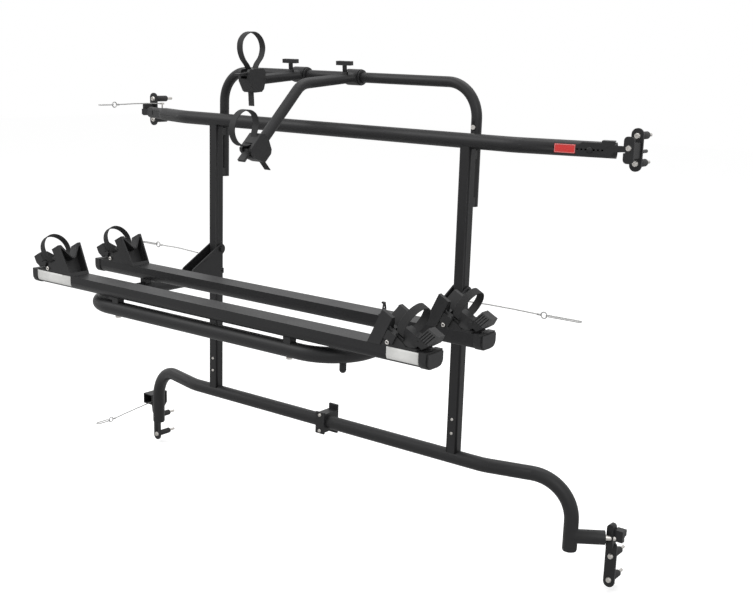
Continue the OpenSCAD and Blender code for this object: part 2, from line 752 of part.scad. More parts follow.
// A T-knob: a screw with a cross handle, along +Z from the arm's axis
module arm_knob() rotate([arm_droop, 0, 0]) translate([0, -knob_y, 0]) {
    translate([0, 0, 6]) cylinder(d = knob_stem_d, h = 18);
    translate([0, 0, hoop_d / 2 + 4 + seat]) cylinder(d = 11, h = 17);
    translate([-22, -6, hoop_d / 2 + 19]) cube([44, 12, 10]);
}

// Head: a flat-sided body with cut corners, bored for the arm's tube
head_h = 56;
function head_outline() = [[head_len / 2, head_h / 2 - 8], [head_len / 2 - 8, head_h / 2],
    [-head_len / 2 + 4, head_h / 2], [-head_len / 2, head_h / 2 - 6], [-head_len / 2, 0],
    [-head_len / 2 + 12, -head_h / 2 + 4], [-head_len / 2 + 18, -head_h / 2],
    [head_len / 2 - 16, -head_h / 2], [head_len / 2 - 8, -head_h / 2 + 6], [head_len / 2, 0]];
tail_length = 34;
loop_rise = 38;
tail_slot_y = -8;
lever_pin_d = 6;
lever_at = [-head_len / 2 + 8, head_h / 2 - 12];
lever_w = 20;

module arm_head() difference() {
    rotate([90, 0, 90]) linear_extrude(head_w, center = true) polygon(head_outline());
    translate([0, head_len / 2 - head_socket, 0]) rod_y(hoop_d, head_len);
    lever_bay();
    translate([0, lever_at[0], lever_at[1]]) lever_pin(lever_pin_d + 2 * run, seat);
}
// A bay in the head's front upper corner, in which the lever swings on its pin
module lever_bay() translate([-lever_w / 2 - seat, -head_len / 2 - 1, lever_at[1] - 10])
    cube([lever_w + 2 * seat, 22, head_h]);
module arm_strap() {
    loop_z = head_h / 2 + loop_rise;
    difference() {
        translate([0, loop_y, loop_z]) sleeve_x(arm_loop_d - 2 * strap_t, arm_loop_d, strap_w);
        translate([-strap_w, loop_y - arm_loop_d, head_h / 2 - arm_loop_d])
            cube([2 * strap_w, 2 * arm_loop_d, arm_loop_d]);
    }
    translate([-strap_w / 2, tail_slot_y, -head_h / 2 - tail_length])
        cube([strap_w, strap_t, tail_length]);
}
loop_y = 2;
module lever_pin(d, play) translate([-head_w / 2 + 3 - play, 0, 0])
    rod_x(d, head_w - 6 + 2 * play);
module arm_lever() translate([0, lever_at[0], lever_at[1]]) {
    translate([-lever_w / 2, 0, 0]) rod_x(12, lever_w);
    lever_pin(lever_pin_d, 0);
    translate([-lever_w / 2, -32, -2]) cube([lever_w, 30, 6]);
}

module short_arm_frame() rotate([arm_droop, 0, 0]) translate([0, -short_arm_length, 0]) children();
module long_arm_frame() rotate([arm_droop, 0, 0]) translate([0, -long_arm_length, 0])
    rotate([long_arm_bend, 0, 0]) translate([0, -long_arm_reach, 0]) children();

module short_arm_liner() color(plastic) arm_place(short_arm_x) arm_liner();
module short_arm_ring() color(steel) arm_place(short_arm_x) arm_ring();
module short_arm_tube() color(black) arm_place(short_arm_x)
    arm_body() short_arm_pipe(hoop_d, hoop_wall);
module short_arm_knob() color(plastic) arm_place(short_arm_x) arm_knob();
module short_arm_head() color(plastic) arm_place(short_arm_x) short_arm_frame() arm_head();
module short_arm_strap() color(rubber) arm_place(short_arm_x) short_arm_frame() arm_strap();
module short_arm_lever() color(plastic) arm_place(short_arm_x) short_arm_frame() arm_lever();
module long_arm_liner() color(plastic) arm_place(long_arm_x) arm_liner();
module long_arm_ring() color(steel) arm_place(long_arm_x) arm_ring();
module long_arm_tube() color(black) arm_place(long_arm_x)
    arm_body() long_arm_pipe(hoop_d, hoop_wall);
module long_arm_knob() color(plastic) arm_place(long_arm_x) arm_knob();
module long_arm_head() color(plastic) arm_place(long_arm_x) long_arm_frame() arm_head();
module long_arm_strap() color(rubber) arm_place(long_arm_x) long_arm_frame() arm_strap();
module long_arm_lever() color(plastic) arm_place(long_arm_x) long_arm_frame() arm_lever();

// Platform tube: a U in front of the posts
u_gap = 10.5;

module u_run(d, wall) translate([-post_x, -post_depth / 2 - u_gap, -u_drop])
    rotate([0, 0, -90]) pipe_run(d, wall,
        [[u_reach - post_depth / 2 - u_gap - u_radius, u_radius, 90, 0],
         [post_pitch - 2 * u_radius, u_radius, 90, 0],
         [u_reach - post_depth / 2 - u_gap - u_radius, 0, 0, 0]]);
peg_turn = 34;
peg_in = 8.5;
peg_at = [post_x - u_radius + (u_radius - peg_in) * cos(peg_turn),
    u_radius - u_reach - (u_radius - peg_in) * sin(peg_turn)];
peg_d = 15;
peg_h = 34;

module platform_tube() color(black) platform() {
    difference() {
        u_run(tube_d, tube_wall);
        rail_screw_places() rail_shank();
    }
    difference() {
        translate([peg_at[0], peg_at[1], -u_drop - peg_h]) {
            cylinder(d = peg_d, h = peg_h);
            sphere(d = peg_d);
        }
        u_run(tube_d - tube_wall, tube_d);
    }
}

// Hinge plates: an eye at the pin, a sloping top edge and a rear tab
eye_r = 14;
plate_reach = 112;
tab_hole_z = -61;

module hinge_outline() difference() {
    union() {
        circle(r = eye_r);
        polygon([[-eye_r * 0.34, eye_r * 0.94], [-plate_reach + 6, -43], [-plate_reach, -51],
            [-plate_reach, -u_drop], [-4, -u_drop], [-4, tab_hole_z - 7], [9, tab_hole_z - 7],
            [9, tab_hole_z + 7], [-4, tab_hole_z + 9], [-4, -24], [eye_r * 0.8, -eye_r * 0.6]]);
    }
    circle(d = bore_d);
    translate([2, tab_hole_z]) circle(d = 5);
}
module hinge_plates() color(black) platform() both() for (s = [-1, 1]) difference() {
    translate([post_x + s * (hinge_out - hinge_plate / 2), 0, 0]) rotate([90, 0, 90])
        linear_extrude(hinge_plate, center = true) hinge_outline();
    u_run(tube_d, tube_d);
}

// Rails: upright sides, rounded lower corners and a flat top, all grown on each side
module rail_outline(grow, top) {
    translate([-rail_w / 2 - grow, rail_corner - rail_h])
        square([rail_w + 2 * grow, rail_h - rail_corner + top]);
    translate([rail_corner - rail_w / 2, -rail_h - grow])
        square([rail_w - 2 * rail_corner, rail_corner + grow + 1]);
    for (s = [-1, 1]) translate([s * (rail_w / 2 - rail_corner), rail_corner - rail_h])
        circle(rail_corner + grow);
}
rail_top_local = rail_top - pivot_height;
module rail_along(y, half) translate([rail_shift - half, y, rail_top_local]) rotate([90, 0, 90])
    linear_extrude(2 * half) children();
module rail(y) rail_along(y, rail_end) difference() {
    rail_outline(0, 0);
    rail_outline(-rail_wall, -rail_wall);
}
module front_rail() color(black) platform() rail(front_rail_y);
module rear_rail() color(black) platform() rail(-rear_rail_y);

cap_plug = 14;
cap_lip = 1.5;
cap_end_t = 4;
module rail_caps() color(plastic) platform() translate([rail_shift, 0, 0])
    for (y = [front_rail_y, -rear_rail_y])
        both() translate([0, y, rail_top_local]) rotate([90, 0, 90]) {
            translate([0, 0, rail_end - cap_plug]) linear_extrude(cap_plug)
                rail_outline(-rail_wall - seat, -rail_wall - seat);
            translate([0, 0, rail_end]) linear_extrude(cap_length - cap_end_t)
                rail_outline(cap_lip, cap_lip);
            translate([0, 0, rail_end + cap_length - cap_end_t]) linear_extrude(cap_end_t)
                rail_outline(-cap_lip, -cap_lip);
        }

// Saddles between the rails and the U tube, and the screws that hold them
front_saddle_x = 270;
saddle_l = 20;
saddle_lip = 3;
saddle_grip = 6;
rail_screw_d = 8;
rail_head_h = 4;

module rail_screw_places() both() {
    translate([front_saddle_x, -u_reach, -u_drop]) children();
    translate([post_x, -rear_rail_y, -u_drop]) children();
}
module rail_shank() translate([0, 0, -tube_d / 2 - rail_head_h])
    cylinder(d = rail_screw_d, h = rail_head_h + tube_d + saddle_gap);
module rail_saddles() color(plastic) platform() difference() {
    rail_screw_places() translate([-saddle_l / 2, -saddle_l / 2, -saddle_grip])
        cube([saddle_l, saddle_l, saddle_grip + tube_d / 2 + saddle_gap + saddle_lip]);
    u_run(tube_d, tube_d);
    for (y = [front_rail_y, -rear_rail_y]) rail_along(y, rail_end) rail_outline(0, 0);
    rail_screw_places() rail_shank();
}
module rail_screws() color(steel) platform() rail_screw_places() {
    rail_shank();
    translate([0, 0, -tube_d / 2 - rail_head_h]) cylinder(d = 14, h = rail_head_h, $fn = 6);
}

// Spring jaws on the rear rail, which grip the right post when the platform is folded up
clip_t = 3;
clip_gap = 3.5;
clip_h = 30;
clip_w = 13;
clip_forward = 20;
clip_foot = 12;

module clip_outline() difference() {
    union() {
        translate([-clip_w / 2, 0]) square([clip_w, clip_h / 2]);
        polygon([[-clip_w / 2, clip_h / 2], [clip_w / 2, clip_h / 2], [clip_w / 4, clip_h],
            [-clip_w / 4, clip_h]]);
    }
    translate([0, clip_h * 0.6]) circle(d = 5, $fn = 24);
}
module fold_clips() color(plastic) platform()
    translate([post_x, -rear_rail_y - clip_forward, rail_top_local])
    for (s = [0, 1]) mirror([s, 0, 0]) translate([post_w / 2 + clip_gap, 0, 0]) {
        rotate([90, 0, 90]) linear_extrude(clip_t) clip_outline();
        translate([clip_t - 0.5, -clip_w / 4, clip_h - 4]) cube([5, clip_w / 2, 4]);
        translate([0, -clip_w / 2, 0]) cube([clip_foot, clip_w, 3]);
    }

// Wheel holders: each is seen from its inner foot, X outwards and Z up from the rail. One
// design serves both ends, turned half round, so its anchor side faces front on the right
module holder_place(side, y) platform() translate([0, y, rail_top_local + seat])
    rotate([0, 0, side < 0 ? 180 : 0])
        translate([side < 0 ? left_holder_x : right_holder_x, 0, 0]) children();
// The leaning frame: X through the V plate, Z up along it
module leaning() rotate([0, chute_lean, 0]) children();

valley_h = 48;
valley_r = 6;
base_l = 118;
cheek_l = 97;
base_w = chute_foot_w - 1;
base_t = 5;
cheek_t = 4;
anchor_n = [29, 52];
anchor_v = [33, 54];
buckle_n = [46, 66];
buckle_top = 57;
buckle_w = 48;
ratchet_n = [51, 94];
ratchet_v = [49, 72];
ratchet_w = [47, 22];
ratchet_nose = [[96, 63.67], [90.4, 73]];
lever_ear = 4;
lever_n = 89;
lever_v = 66;
lever_half = 22.2;
lever_side = [[95.5, 64], [109, 64], [118, 79], [118, 98], [90, 98], [90, 73.5], [95.5, 73.5]];
lever_low = 80;
lever_top = 96;
lever_slots = 4;
lever_slot = [2.4, 3];
lever_slot_pitch = 5.6;
bolt_z = 8;
bolt_u = [50, 86];
bolt_d = 8;
bolt_h = 3;

module chute_outline() difference() {
    polygon([[-chute_foot_w / 2, -30], [chute_foot_w / 2, -30], [chute_foot_w / 2, -5],
        [chute_top_w / 2, chute_h], [-chute_top_w / 2, chute_h], [-chute_foot_w / 2, -5]]);
    polygon([[-chute_top_w / 2 + 9, chute_h + 1], [chute_top_w / 2 - 9, chute_h + 1],
        [valley_r, valley_h + 3], [0, valley_h], [-valley_r, valley_h + 3]]);
}
module chute_hollow() {
    polygon([[-chute_foot_w / 2 + 3, 8], [chute_foot_w / 2 - 3, 8], [chute_top_w / 2 - 5, chute_h - 9],
        [chute_top_w / 2 - 8, chute_h - 9], [valley_r, valley_h - 2], [0, valley_h - 4],
        [-valley_r, valley_h - 2], [-chute_top_w / 2 + 8, chute_h - 9],
        [-chute_top_w / 2 + 5, chute_h - 9]]);
}
// A block of the leaning frame between two depths, two heights and two places across
module lean_block(n, v, across) leaning() translate([n[0], across[0], v[0]])
    cube([n[1] - n[0], across[1] - across[0], v[1] - v[0]]);

module chute() difference() {
    union() {
        leaning() rotate([90, 0, 90]) linear_extrude(chute_t) chute_outline();
        translate([8, -base_w / 2, 0]) cube([base_l - 8, base_w, base_t]);
        for (s = [-1, 1]) translate([0, s * (base_w - cheek_t) / 2 + cheek_t / 2, 0])
            rotate([90, 0, 0]) linear_extrude(cheek_t)
                polygon([[20, 1], [cheek_l, 1], [cheek_l - 17, 16], [62, 26], [50, 44]]);
        lean_block(anchor_n, anchor_v, [-chute_foot_w / 2 - 3, -buckle_w / 2 + 12]);
        lean_block(buckle_n, [0, buckle_top], [-buckle_w / 2, buckle_w / 2]);
        ratchet();
        translate([bolt_u[0], -chute_foot_w / 2 - bolt_h, bolt_z]) rod_y(bolt_d, bolt_h + 2);
        translate([bolt_u[1], chute_foot_w / 2 - 2, bolt_z]) rod_y(bolt_d, bolt_h + 2);
    }
    leaning() translate([-1, 0, 0]) rotate([90, 0, 90]) linear_extrude(chute_t - 5) chute_hollow();
    translate([-100, -100, -200]) cube([400, 200, 200]);
    leaning() translate([lever_n, -ratchet_w[0], lever_v])
        rod_y(lever_pin_d + 2 * run, 2 * ratchet_w[0]);
    leaning() strap_ring(seat);
}
// The ratchet: a block whose sides slope in towards its top, its outer top edge cut off
module ratchet() leaning() intersection() {
    translate([ratchet_n[0], 0, 0]) rotate([90, 0, 90])
        linear_extrude(ratchet_n[1] - ratchet_n[0])
            polygon([[-ratchet_w[0] / 2, ratchet_v[0]], [ratchet_w[0] / 2, ratchet_v[0]],
                [ratchet_w[1] / 2, ratchet_v[1]], [-ratchet_w[1] / 2, ratchet_v[1]]]);
    translate([0, ratchet_w[0], 0]) rotate([90, 0, 0]) linear_extrude(2 * ratchet_w[0])
        polygon([[ratchet_n[0] - 1, ratchet_v[0] - 1], [ratchet_nose[0][0], ratchet_v[0] - 1],
            each ratchet_nose, [ratchet_n[0] - 1, ratchet_nose[1][1]]]);
}
// The wheel strap's ring, grown on each side
module strap_ring(grow) translate([(buckle_n[0] + buckle_n[1]) / 2, 0, wheel_loop_v])
    sleeve_x(wheel_loop_d - 2 * strap_t - 2 * grow, wheel_loop_d + 2 * grow, strap_w + 2 * grow);
wheel_loop_v = buckle_top + 31.5;
strap_seat = 2;
module wheel_strap() leaning() difference() {
    strap_ring(0);
    translate([0, -50, buckle_top - strap_seat - 100]) cube([100, 100, 100]);
}
// The lever: two ears on the pin and a body with a sloping grooved top
module wheel_lever() leaning() {
    translate([lever_n, -lever_half, lever_v]) rod_y(lever_pin_d, 2 * lever_half);
    for (s = [-1, 1]) translate([lever_n, s * (lever_half - lever_ear / 2) - lever_ear / 2, 0]) {
        translate([0, 0, lever_v]) rod_y(2 * lever_pin_d, lever_ear);
        translate([0, 0, lever_v - lever_pin_d])
            cube([lever_side[0][0] + 2 - lever_n, lever_ear, 2 * lever_pin_d]);
    }
    difference() {
        intersection() {
            lever_along(lever_side[4][0] - 1, 30)
                polygon([[-lever_half, lever_v - 5], [-lever_half, lever_low], [0, lever_top],
                    [lever_half, lever_top], [lever_half, lever_v - 5]]);
            translate([0, lever_half + 1, 0]) rotate([90, 0, 0])
                linear_extrude(2 * lever_half + 2) polygon(lever_side);
        }
        for (i = [0:lever_slots - 1])
            lever_along(lever_side[0][0] - 2 + i * lever_slot_pitch, lever_slot[0])
                polygon([[-lever_half - 1, lever_low - lever_slot[1] - 0.72],
                    [-3, lever_top - lever_slot[1] - 2.16], [-3, lever_top + 1],
                    [-lever_half - 1, lever_top + 1]]);
    }
}
module lever_along(n, length) translate([n, 0, 0]) rotate([90, 0, 90])
    linear_extrude(length) children();

module front_left_chute() color(plastic) holder_place(-1, front_rail_y) chute();
module front_left_strap() color(rubber) holder_place(-1, front_rail_y) wheel_strap();
module front_left_lever() color(plastic) holder_place(-1, front_rail_y) wheel_lever();
module front_right_chute() color(plastic) holder_place(1, front_rail_y) chute();
module front_right_strap() color(rubber) holder_place(1, front_rail_y) wheel_strap();
module front_right_lever() color(plastic) holder_place(1, front_rail_y) wheel_lever();
module rear_left_chute() color(plastic) holder_place(-1, -rear_rail_y) chute();
module rear_left_strap() color(rubber) holder_place(-1, -rear_rail_y) wheel_strap();
module rear_left_lever() color(plastic) holder_place(-1, -rear_rail_y) wheel_lever();
module rear_right_chute() color(plastic) holder_place(1, -rear_rail_y) chute();
module rear_right_strap() color(rubber) holder_place(1, -rear_rail_y) wheel_strap();
module rear_right_lever() color(plastic) holder_place(1, -rear_rail_y) wheel_lever();

// Safety cables: a tube swept along each route's own points
function unit(v) = v / norm(v);
function heading(route, i) =
    unit(route[min(i + 1, len(route) - 1)] - route[max(i - 1, 0)]);
function cable_ring(centre, along) = let (a = unit(cross([0, 0, 1], along)), b = cross(along, a))
    [for (k = [0:7]) centre + cable_d / 2 * (cos(45 * k) * a + sin(45 * k) * b)];

module cable(route) {
    last = len(route) - 1;
    polyhedron(
        points = [for (i = [0:last]) each cable_ring(route[i], heading(route, i))],
        faces = concat(
            [[for (k = [0:7]) k]],
            [[for (k = [7:-1:0]) 8 * last + k]],
            [for (i = [0:last - 1], k = [0:7]) [8 * i + k, 8 * i + 8 + k, 8 * i + (k + 1) % 8]],
            [for (i = [0:last - 1], k = [0:7])
                [8 * i + (k + 1) % 8, 8 * i + 8 + k, 8 * i + 8 + (k + 1) % 8]]));
}
module upper_left_cable() color(wire) cable(upper_left_route);
module lower_left_cable() color(wire) cable(lower_left_route);
module platform_left_cable() color(wire) cable(platform_left_route);
module platform_right_cable() color(wire) cable(platform_right_route);

// A lock pin at a cable's end: crimp sleeve, ring and a long wire bail, along +X
crimp_l = 9;
crimp_d = 5;
ring_r = 7;
bail_r = 6;

module lock_pin(length) {
    rod_x(crimp_d, crimp_l);
    translate([crimp_l + ring_r, 0, 0]) rotate([90, 0, 0]) rotate_extrude()
        translate([ring_r, 0]) circle(d = wire_d, $fn = 24);
    translate([crimp_l + 2 * ring_r + bail_r - 1, -bail_r, 0]) pipe_run(wire_d, wire_d,
        [[length - 2 * bail_r, bail_r, 180, 0], [length - 2 * bail_r, bail_r, 180, 0]]);
}
frame_pin_l = 46;
left_pin_l = 58;
right_pin_l = 84;

module frame_lock_pins() color(wire) for (route = [upper_left_route, lower_left_route])
    translate(route[len(route) - 1]) rotate([0, 0, -90]) lock_pin(frame_pin_l);
module platform_lock_pins() color(wire) {
    translate(platform_left_route[len(platform_left_route) - 1]) rotate([0, 0, 180])
        lock_pin(left_pin_l);
    translate(platform_right_route[len(platform_right_route) - 1]) lock_pin(right_pin_l);
}

upper_crossbar();
lower_tube();
posts();
foot_bracket();
frame_screws();
reflector();
upper_left_clamp();
lower_left_clamp();
left_sleeves();
hoop_guides();
hinge_pins();
slide_plate();
upper_right_clamp();
upper_right_sleeves();
upper_right_screws();
lower_right_clamp();
lower_right_sleeves();
lower_right_screws();
hoop();
hoop_lock_pin();
short_arm_liner();
short_arm_ring();
short_arm_tube();
short_arm_head();
short_arm_strap();
short_arm_lever();
short_arm_knob();
long_arm_liner();
long_arm_ring();
long_arm_tube();
long_arm_head();
long_arm_strap();
long_arm_lever();
long_arm_knob();
platform_tube();
hinge_plates();
front_rail();
rear_rail();
rail_caps();
rail_saddles();
rail_screws();
fold_clips();
front_left_chute();
front_left_strap();
front_left_lever();
front_right_chute();
front_right_strap();
front_right_lever();
rear_left_chute();
rear_left_strap();
rear_left_lever();
rear_right_chute();
rear_right_strap();
rear_right_lever();
upper_left_cable();
lower_left_cable();
platform_left_cable();
platform_right_cable();
frame_lock_pins();
platform_lock_pins();
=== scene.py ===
"""Rear bike carrier: finishes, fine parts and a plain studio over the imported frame."""
import math

import bmesh
import bpy
from bpy.props import FloatProperty, FloatVectorProperty, PointerProperty
from bpy.types import Operator, Panel, PropertyGroup
from mathutils import Matrix, Vector


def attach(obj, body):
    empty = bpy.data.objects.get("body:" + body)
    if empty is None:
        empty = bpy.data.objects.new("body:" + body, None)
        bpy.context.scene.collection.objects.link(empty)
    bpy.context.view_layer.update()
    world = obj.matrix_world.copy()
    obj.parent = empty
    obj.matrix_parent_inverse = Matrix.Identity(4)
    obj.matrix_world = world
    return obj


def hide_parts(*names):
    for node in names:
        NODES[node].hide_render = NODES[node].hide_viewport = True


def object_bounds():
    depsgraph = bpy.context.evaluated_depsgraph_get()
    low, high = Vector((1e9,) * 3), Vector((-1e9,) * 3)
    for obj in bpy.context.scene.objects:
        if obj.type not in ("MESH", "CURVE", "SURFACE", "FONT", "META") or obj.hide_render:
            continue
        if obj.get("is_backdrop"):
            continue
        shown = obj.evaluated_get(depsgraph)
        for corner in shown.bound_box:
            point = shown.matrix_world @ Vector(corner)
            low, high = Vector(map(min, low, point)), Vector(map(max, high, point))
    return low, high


bl_info = {
    "name": "Rear bike carrier",
    "version": (1, 0, 0),
    "blender": (4, 5, 0),
    "location": "3D View > Sidebar > Carrier",
    "description": "Dresses the carrier's frame with its finishes and fine parts",
    "category": "Object",
}

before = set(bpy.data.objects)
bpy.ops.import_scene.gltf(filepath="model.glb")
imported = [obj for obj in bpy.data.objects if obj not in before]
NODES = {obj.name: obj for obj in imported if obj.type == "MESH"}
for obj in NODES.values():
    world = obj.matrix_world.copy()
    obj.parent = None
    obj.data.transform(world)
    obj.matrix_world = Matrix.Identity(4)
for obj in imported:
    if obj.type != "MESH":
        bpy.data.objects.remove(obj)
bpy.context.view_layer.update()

# The frame's own measures, in metres: the foot pad's face is the origin
MM = 0.001
FOOT = 0.037                      # from the foot pad's face to the tubes' plane

RAIL_TOP, RAIL_HALF, RAIL_ROUND = 0.3947, 0.0325, 0.016
RAIL_FACE = 0.0275                # from a rail's middle to its face
ROWS = {"front": -0.453 - FOOT, "rear": -0.256 - FOOT}
HOLDER_FEET = {"left": 0.417, "right": 0.489}
LEAN = math.radians(28)           # of a holder's chute

ARMS = {"short": -0.129, "long": 0.044}
HOOP_DEPTH, HOOP_TOP = 0.0314 - FOOT, 0.889
DROOP = math.radians(4.5)         # of an arm's first stretch
SHORT_REACH, LONG_REACH, LONG_END = 0.183, 0.203, 0.207
LONG_BEND = math.radians(39)

BAR_KNEE, BAR_HEIGHT = 0.520, 0.760
BAR_BEND = math.radians(17)       # of the crossbar's end


# ---------------------------------------------------------------- settings

class CarrierSizes(PropertyGroup):
    strap_width: FloatProperty(
        name="Strap width", description="Width of the wheel and arm straps",
        default=0.018, min=0.01, max=0.03, subtype="DISTANCE", unit="LENGTH")
    rib_pitch: FloatProperty(
        name="Rib pitch", description="Distance between two ribs of a wheel strap",
        default=0.0027, min=0.0015, max=0.006, subtype="DISTANCE", unit="LENGTH")
    cable_width: FloatProperty(
        name="Cable diameter", description="Diameter of the safety cables",
        default=0.0030, min=0.001, max=0.005, subtype="DISTANCE", unit="LENGTH")


class CarrierColours(PropertyGroup):
    coat: FloatVectorProperty(
        name="Powder coat", description="Colour of the coated steel",
        default=(0.0135, 0.0135, 0.0143), min=0, max=1, subtype="COLOR")
    plastic: FloatVectorProperty(
        name="Moulded plastic", description="Colour of the moulded parts",
        default=(0.0165, 0.0165, 0.0172), min=0, max=1, subtype="COLOR")
    rubber: FloatVectorProperty(
        name="Rubber", description="Colour of the straps and sleeves",
        default=(0.0200, 0.0200, 0.0205), min=0, max=1, subtype="COLOR")
    steel: FloatVectorProperty(
        name="Plated steel", description="Colour of the screws and pins",
        default=(0.62, 0.60, 0.57), min=0, max=1, subtype="COLOR")
    lens: FloatVectorProperty(
        name="Reflector", description="Colour of the reflector",
        default=(0.62, 0.012, 0.010), min=0, max=1, subtype="COLOR")
    blank: FloatVectorProperty(
        name="Blank plate", description="Colour of the bare plates on the front rail",
        default=(0.72, 0.72, 0.70), min=0, max=1, subtype="COLOR")


def sizes():
    return bpy.context.scene.carrier_sizes


def colours():
    return bpy.context.scene.carrier_colours


# ---------------------------------------------------------------- shader building

class Wire:
    """A socket that can stand in a Python expression."""

    def __init__(self, tree, socket):
        self.tree, self.socket = tree, socket

    def maths(self, operation, *values):
        node = self.tree.nodes.new("ShaderNodeMath")
        node.operation = operation
        for slot, value in zip(node.inputs, values):
            feed(self.tree, value, slot)
        return Wire(self.tree, node.outputs[0])

    def __add__(self, other):
        return self.maths("ADD", self, other)

    def __mul__(self, other):
        return self.maths("MULTIPLY", self, other)

    __radd__ = __add__
    __rmul__ = __mul__


def feed(tree, value, slot):
    if isinstance(value, Wire):
        tree.links.new(value.socket, slot)
    else:
        slot.default_value = value


class Finish:
    """A material with one principled shader, and the one method that adds its nodes."""

    def __init__(self, name, **constants):
        self.material = bpy.data.materials.new(name)
        self.material.use_nodes = True
        self.tree = self.material.node_tree
        self.tree.nodes.clear()
        self.shader = self.add("ShaderNodeBsdfPrincipled", {}, constants).socket.node
        out = self.tree.nodes.new("ShaderNodeOutputMaterial")
        self.tree.links.new(self.shader.outputs[0], out.inputs[0])
        self.place = self.add("ShaderNodeTexCoord", {}, {}, "Object")

    def add(self, kind, settings, values, output=0):
        node = self.tree.nodes.new(kind)
        for key, value in settings.items():
            setattr(node, key, value)
        for key, value in values.items():
            feed(self.tree, value, node.inputs[key])
        return Wire(self.tree, node.outputs[output])

    def noise(self, scale, detail):
        return self.add("ShaderNodeTexNoise", {}, {
            "Vector": self.place, "Scale": scale, "Detail": detail, "Roughness": 0.5})

    def mix(self, factor, low, high):
        return self.add("ShaderNodeMix", {"data_type": "RGBA"}, {0: factor, 6: low, 7: high}, 2)

    def bump(self, height, strength, distance):
        return self.add("ShaderNodeBump", {}, {
            "Height": height, "Strength": strength, "Distance": distance})

    def set(self, **values):
        for key, value in values.items():
            feed(self.tree, value, self.shader.inputs[key.replace("_", " ")])
        return self.material


def shade(colour, gain):
    return tuple(min(1.0, c * gain) for c in colour) + (1.0,)


def powder_coat():
    finish = Finish("black_powder_coat", **{"Specular IOR Level": 0.3})
    tone, cloud = finish.noise(260, 2), finish.noise(9, 3)
    peel = finish.noise(750, 2)
    c = colours().coat
    return finish.set(
        Base_Color=finish.mix(tone * 0.6 + cloud * 0.4, shade(c, 0.75), shade(c, 1.35)),
        Roughness=cloud * 0.16 + tone * 0.08 + 0.33,
        Normal=finish.bump(peel, 0.16, 0.0004))


def moulded_plastic():
    finish = Finish("black_moulded_plastic", **{"Specular IOR Level": 0.34})
    grain, cloud = finish.noise(1500, 1), finish.noise(40, 3)
    c = colours().plastic
    return finish.set(
        Base_Color=finish.mix(cloud, shade(c, 0.8), shade(c, 1.3)),
        Roughness=cloud * 0.2 + 0.38,
        Normal=finish.bump(grain, 0.22, 0.0003))


def soft_rubber():
    finish = Finish("black_soft_rubber", **{"Specular IOR Level": 0.3})
    grain, cloud = finish.noise(1100, 2), finish.noise(60, 3)
    c = colours().rubber
    return finish.set(
        Base_Color=finish.mix(cloud, shade(c, 0.75), shade(c, 1.4)),
        Roughness=cloud * 0.2 + 0.55,
        Normal=finish.bump(grain, 0.25, 0.0003))


def plated_steel():
    finish = Finish("plated_steel", **{"Metallic": 1.0})
    cloud, brushed = finish.noise(180, 4), finish.noise(1400, 2)
    c = colours().steel
    return finish.set(
        Base_Color=finish.mix(cloud, shade(c, 0.82), shade(c, 1.15)),
        Roughness=cloud * 0.22 + 0.22,
        Normal=finish.bump(brushed, 0.12, 0.0002))


def stranded_wire():
    finish = Finish("stranded_wire", **{"Metallic": 1.0})
    strand_lay_and_painted_shade = finish.add("ShaderNodeTexWave", {"bands_direction": "DIAGONAL"}, {
        "Vector": finish.place, "Scale": 420.0, "Distortion": 0.4, "Detail": 1.0})
    cloud = finish.noise(90, 3)
    # The strand lay drives the bump and also paints the colour: painted shade in the grooves
    # between strands, painted highlight on their crowns
    return finish.set(
        Base_Color=finish.mix(strand_lay_and_painted_shade, (0.20, 0.20, 0.20, 1), (0.52, 0.52, 0.51, 1)),
        Roughness=cloud * 0.15 + 0.25,
        Normal=finish.bump(strand_lay_and_painted_shade, 0.5, 0.0003))


def drawn_wire():
    finish = Finish("drawn_wire", **{"Metallic": 1.0})
    cloud = finish.noise(130, 3)
    return finish.set(
        Base_Color=finish.mix(cloud, (0.26, 0.26, 0.26, 1), (0.50, 0.50, 0.49, 1)),
        Roughness=cloud * 0.15 + 0.2,
        Normal=finish.bump(finish.noise(900, 2), 0.08, 0.0002))


def prism_lens():
    finish = Finish("red_prism_lens", **{"Coat Weight": 0.7, "Coat Roughness": 0.08})
    cells = finish.add("ShaderNodeTexVoronoi", {"feature": "DISTANCE_TO_EDGE"}, {
        "Vector": finish.place, "Scale": 420.0})
    c = colours().lens
    # Painted light: each prism cell's middle is painted lighter as a glint, and its edges darker
    # as painted shade
    painted_prism_glints = finish.mix(cells * 2.2, shade(c, 0.85), shade(c, 1.25))
    return finish.set(
        Base_Color=painted_prism_glints, Roughness=cells * 0.1 + 0.15,
        Normal=finish.bump(cells, 0.5, 0.0005))


def bare_plate():
    finish = Finish("bare_pale_plate")
    cloud = finish.noise(70, 3)
    c = colours().blank
    return finish.set(
        Base_Color=finish.mix(cloud, shade(c, 0.93), shade(c, 1.04)),
        Roughness=cloud * 0.15 + 0.42,
        Normal=finish.bump(finish.noise(600, 2), 0.05, 0.0002))


def moulded_rim():
    finish = Finish("pale_red_rim")
    cloud = finish.noise(300, 2)
    return finish.set(
        Base_Color=finish.mix(cloud, (0.60, 0.20, 0.19, 1), (0.74, 0.30, 0.29, 1)),
        Roughness=cloud * 0.1 + 0.3)


MAKERS = {"coat": powder_coat, "plastic": moulded_plastic, "rubber": soft_rubber,
          "steel": plated_steel, "cable": stranded_wire, "wire": drawn_wire,
          "lens": prism_lens, "rim": moulded_rim, "plate": bare_plate}
made = {}


def finish_of(kind):
    if kind not in made:
        made[kind] = MAKERS[kind]()
    return made[kind]


# ---------------------------------------------------------------- mesh building

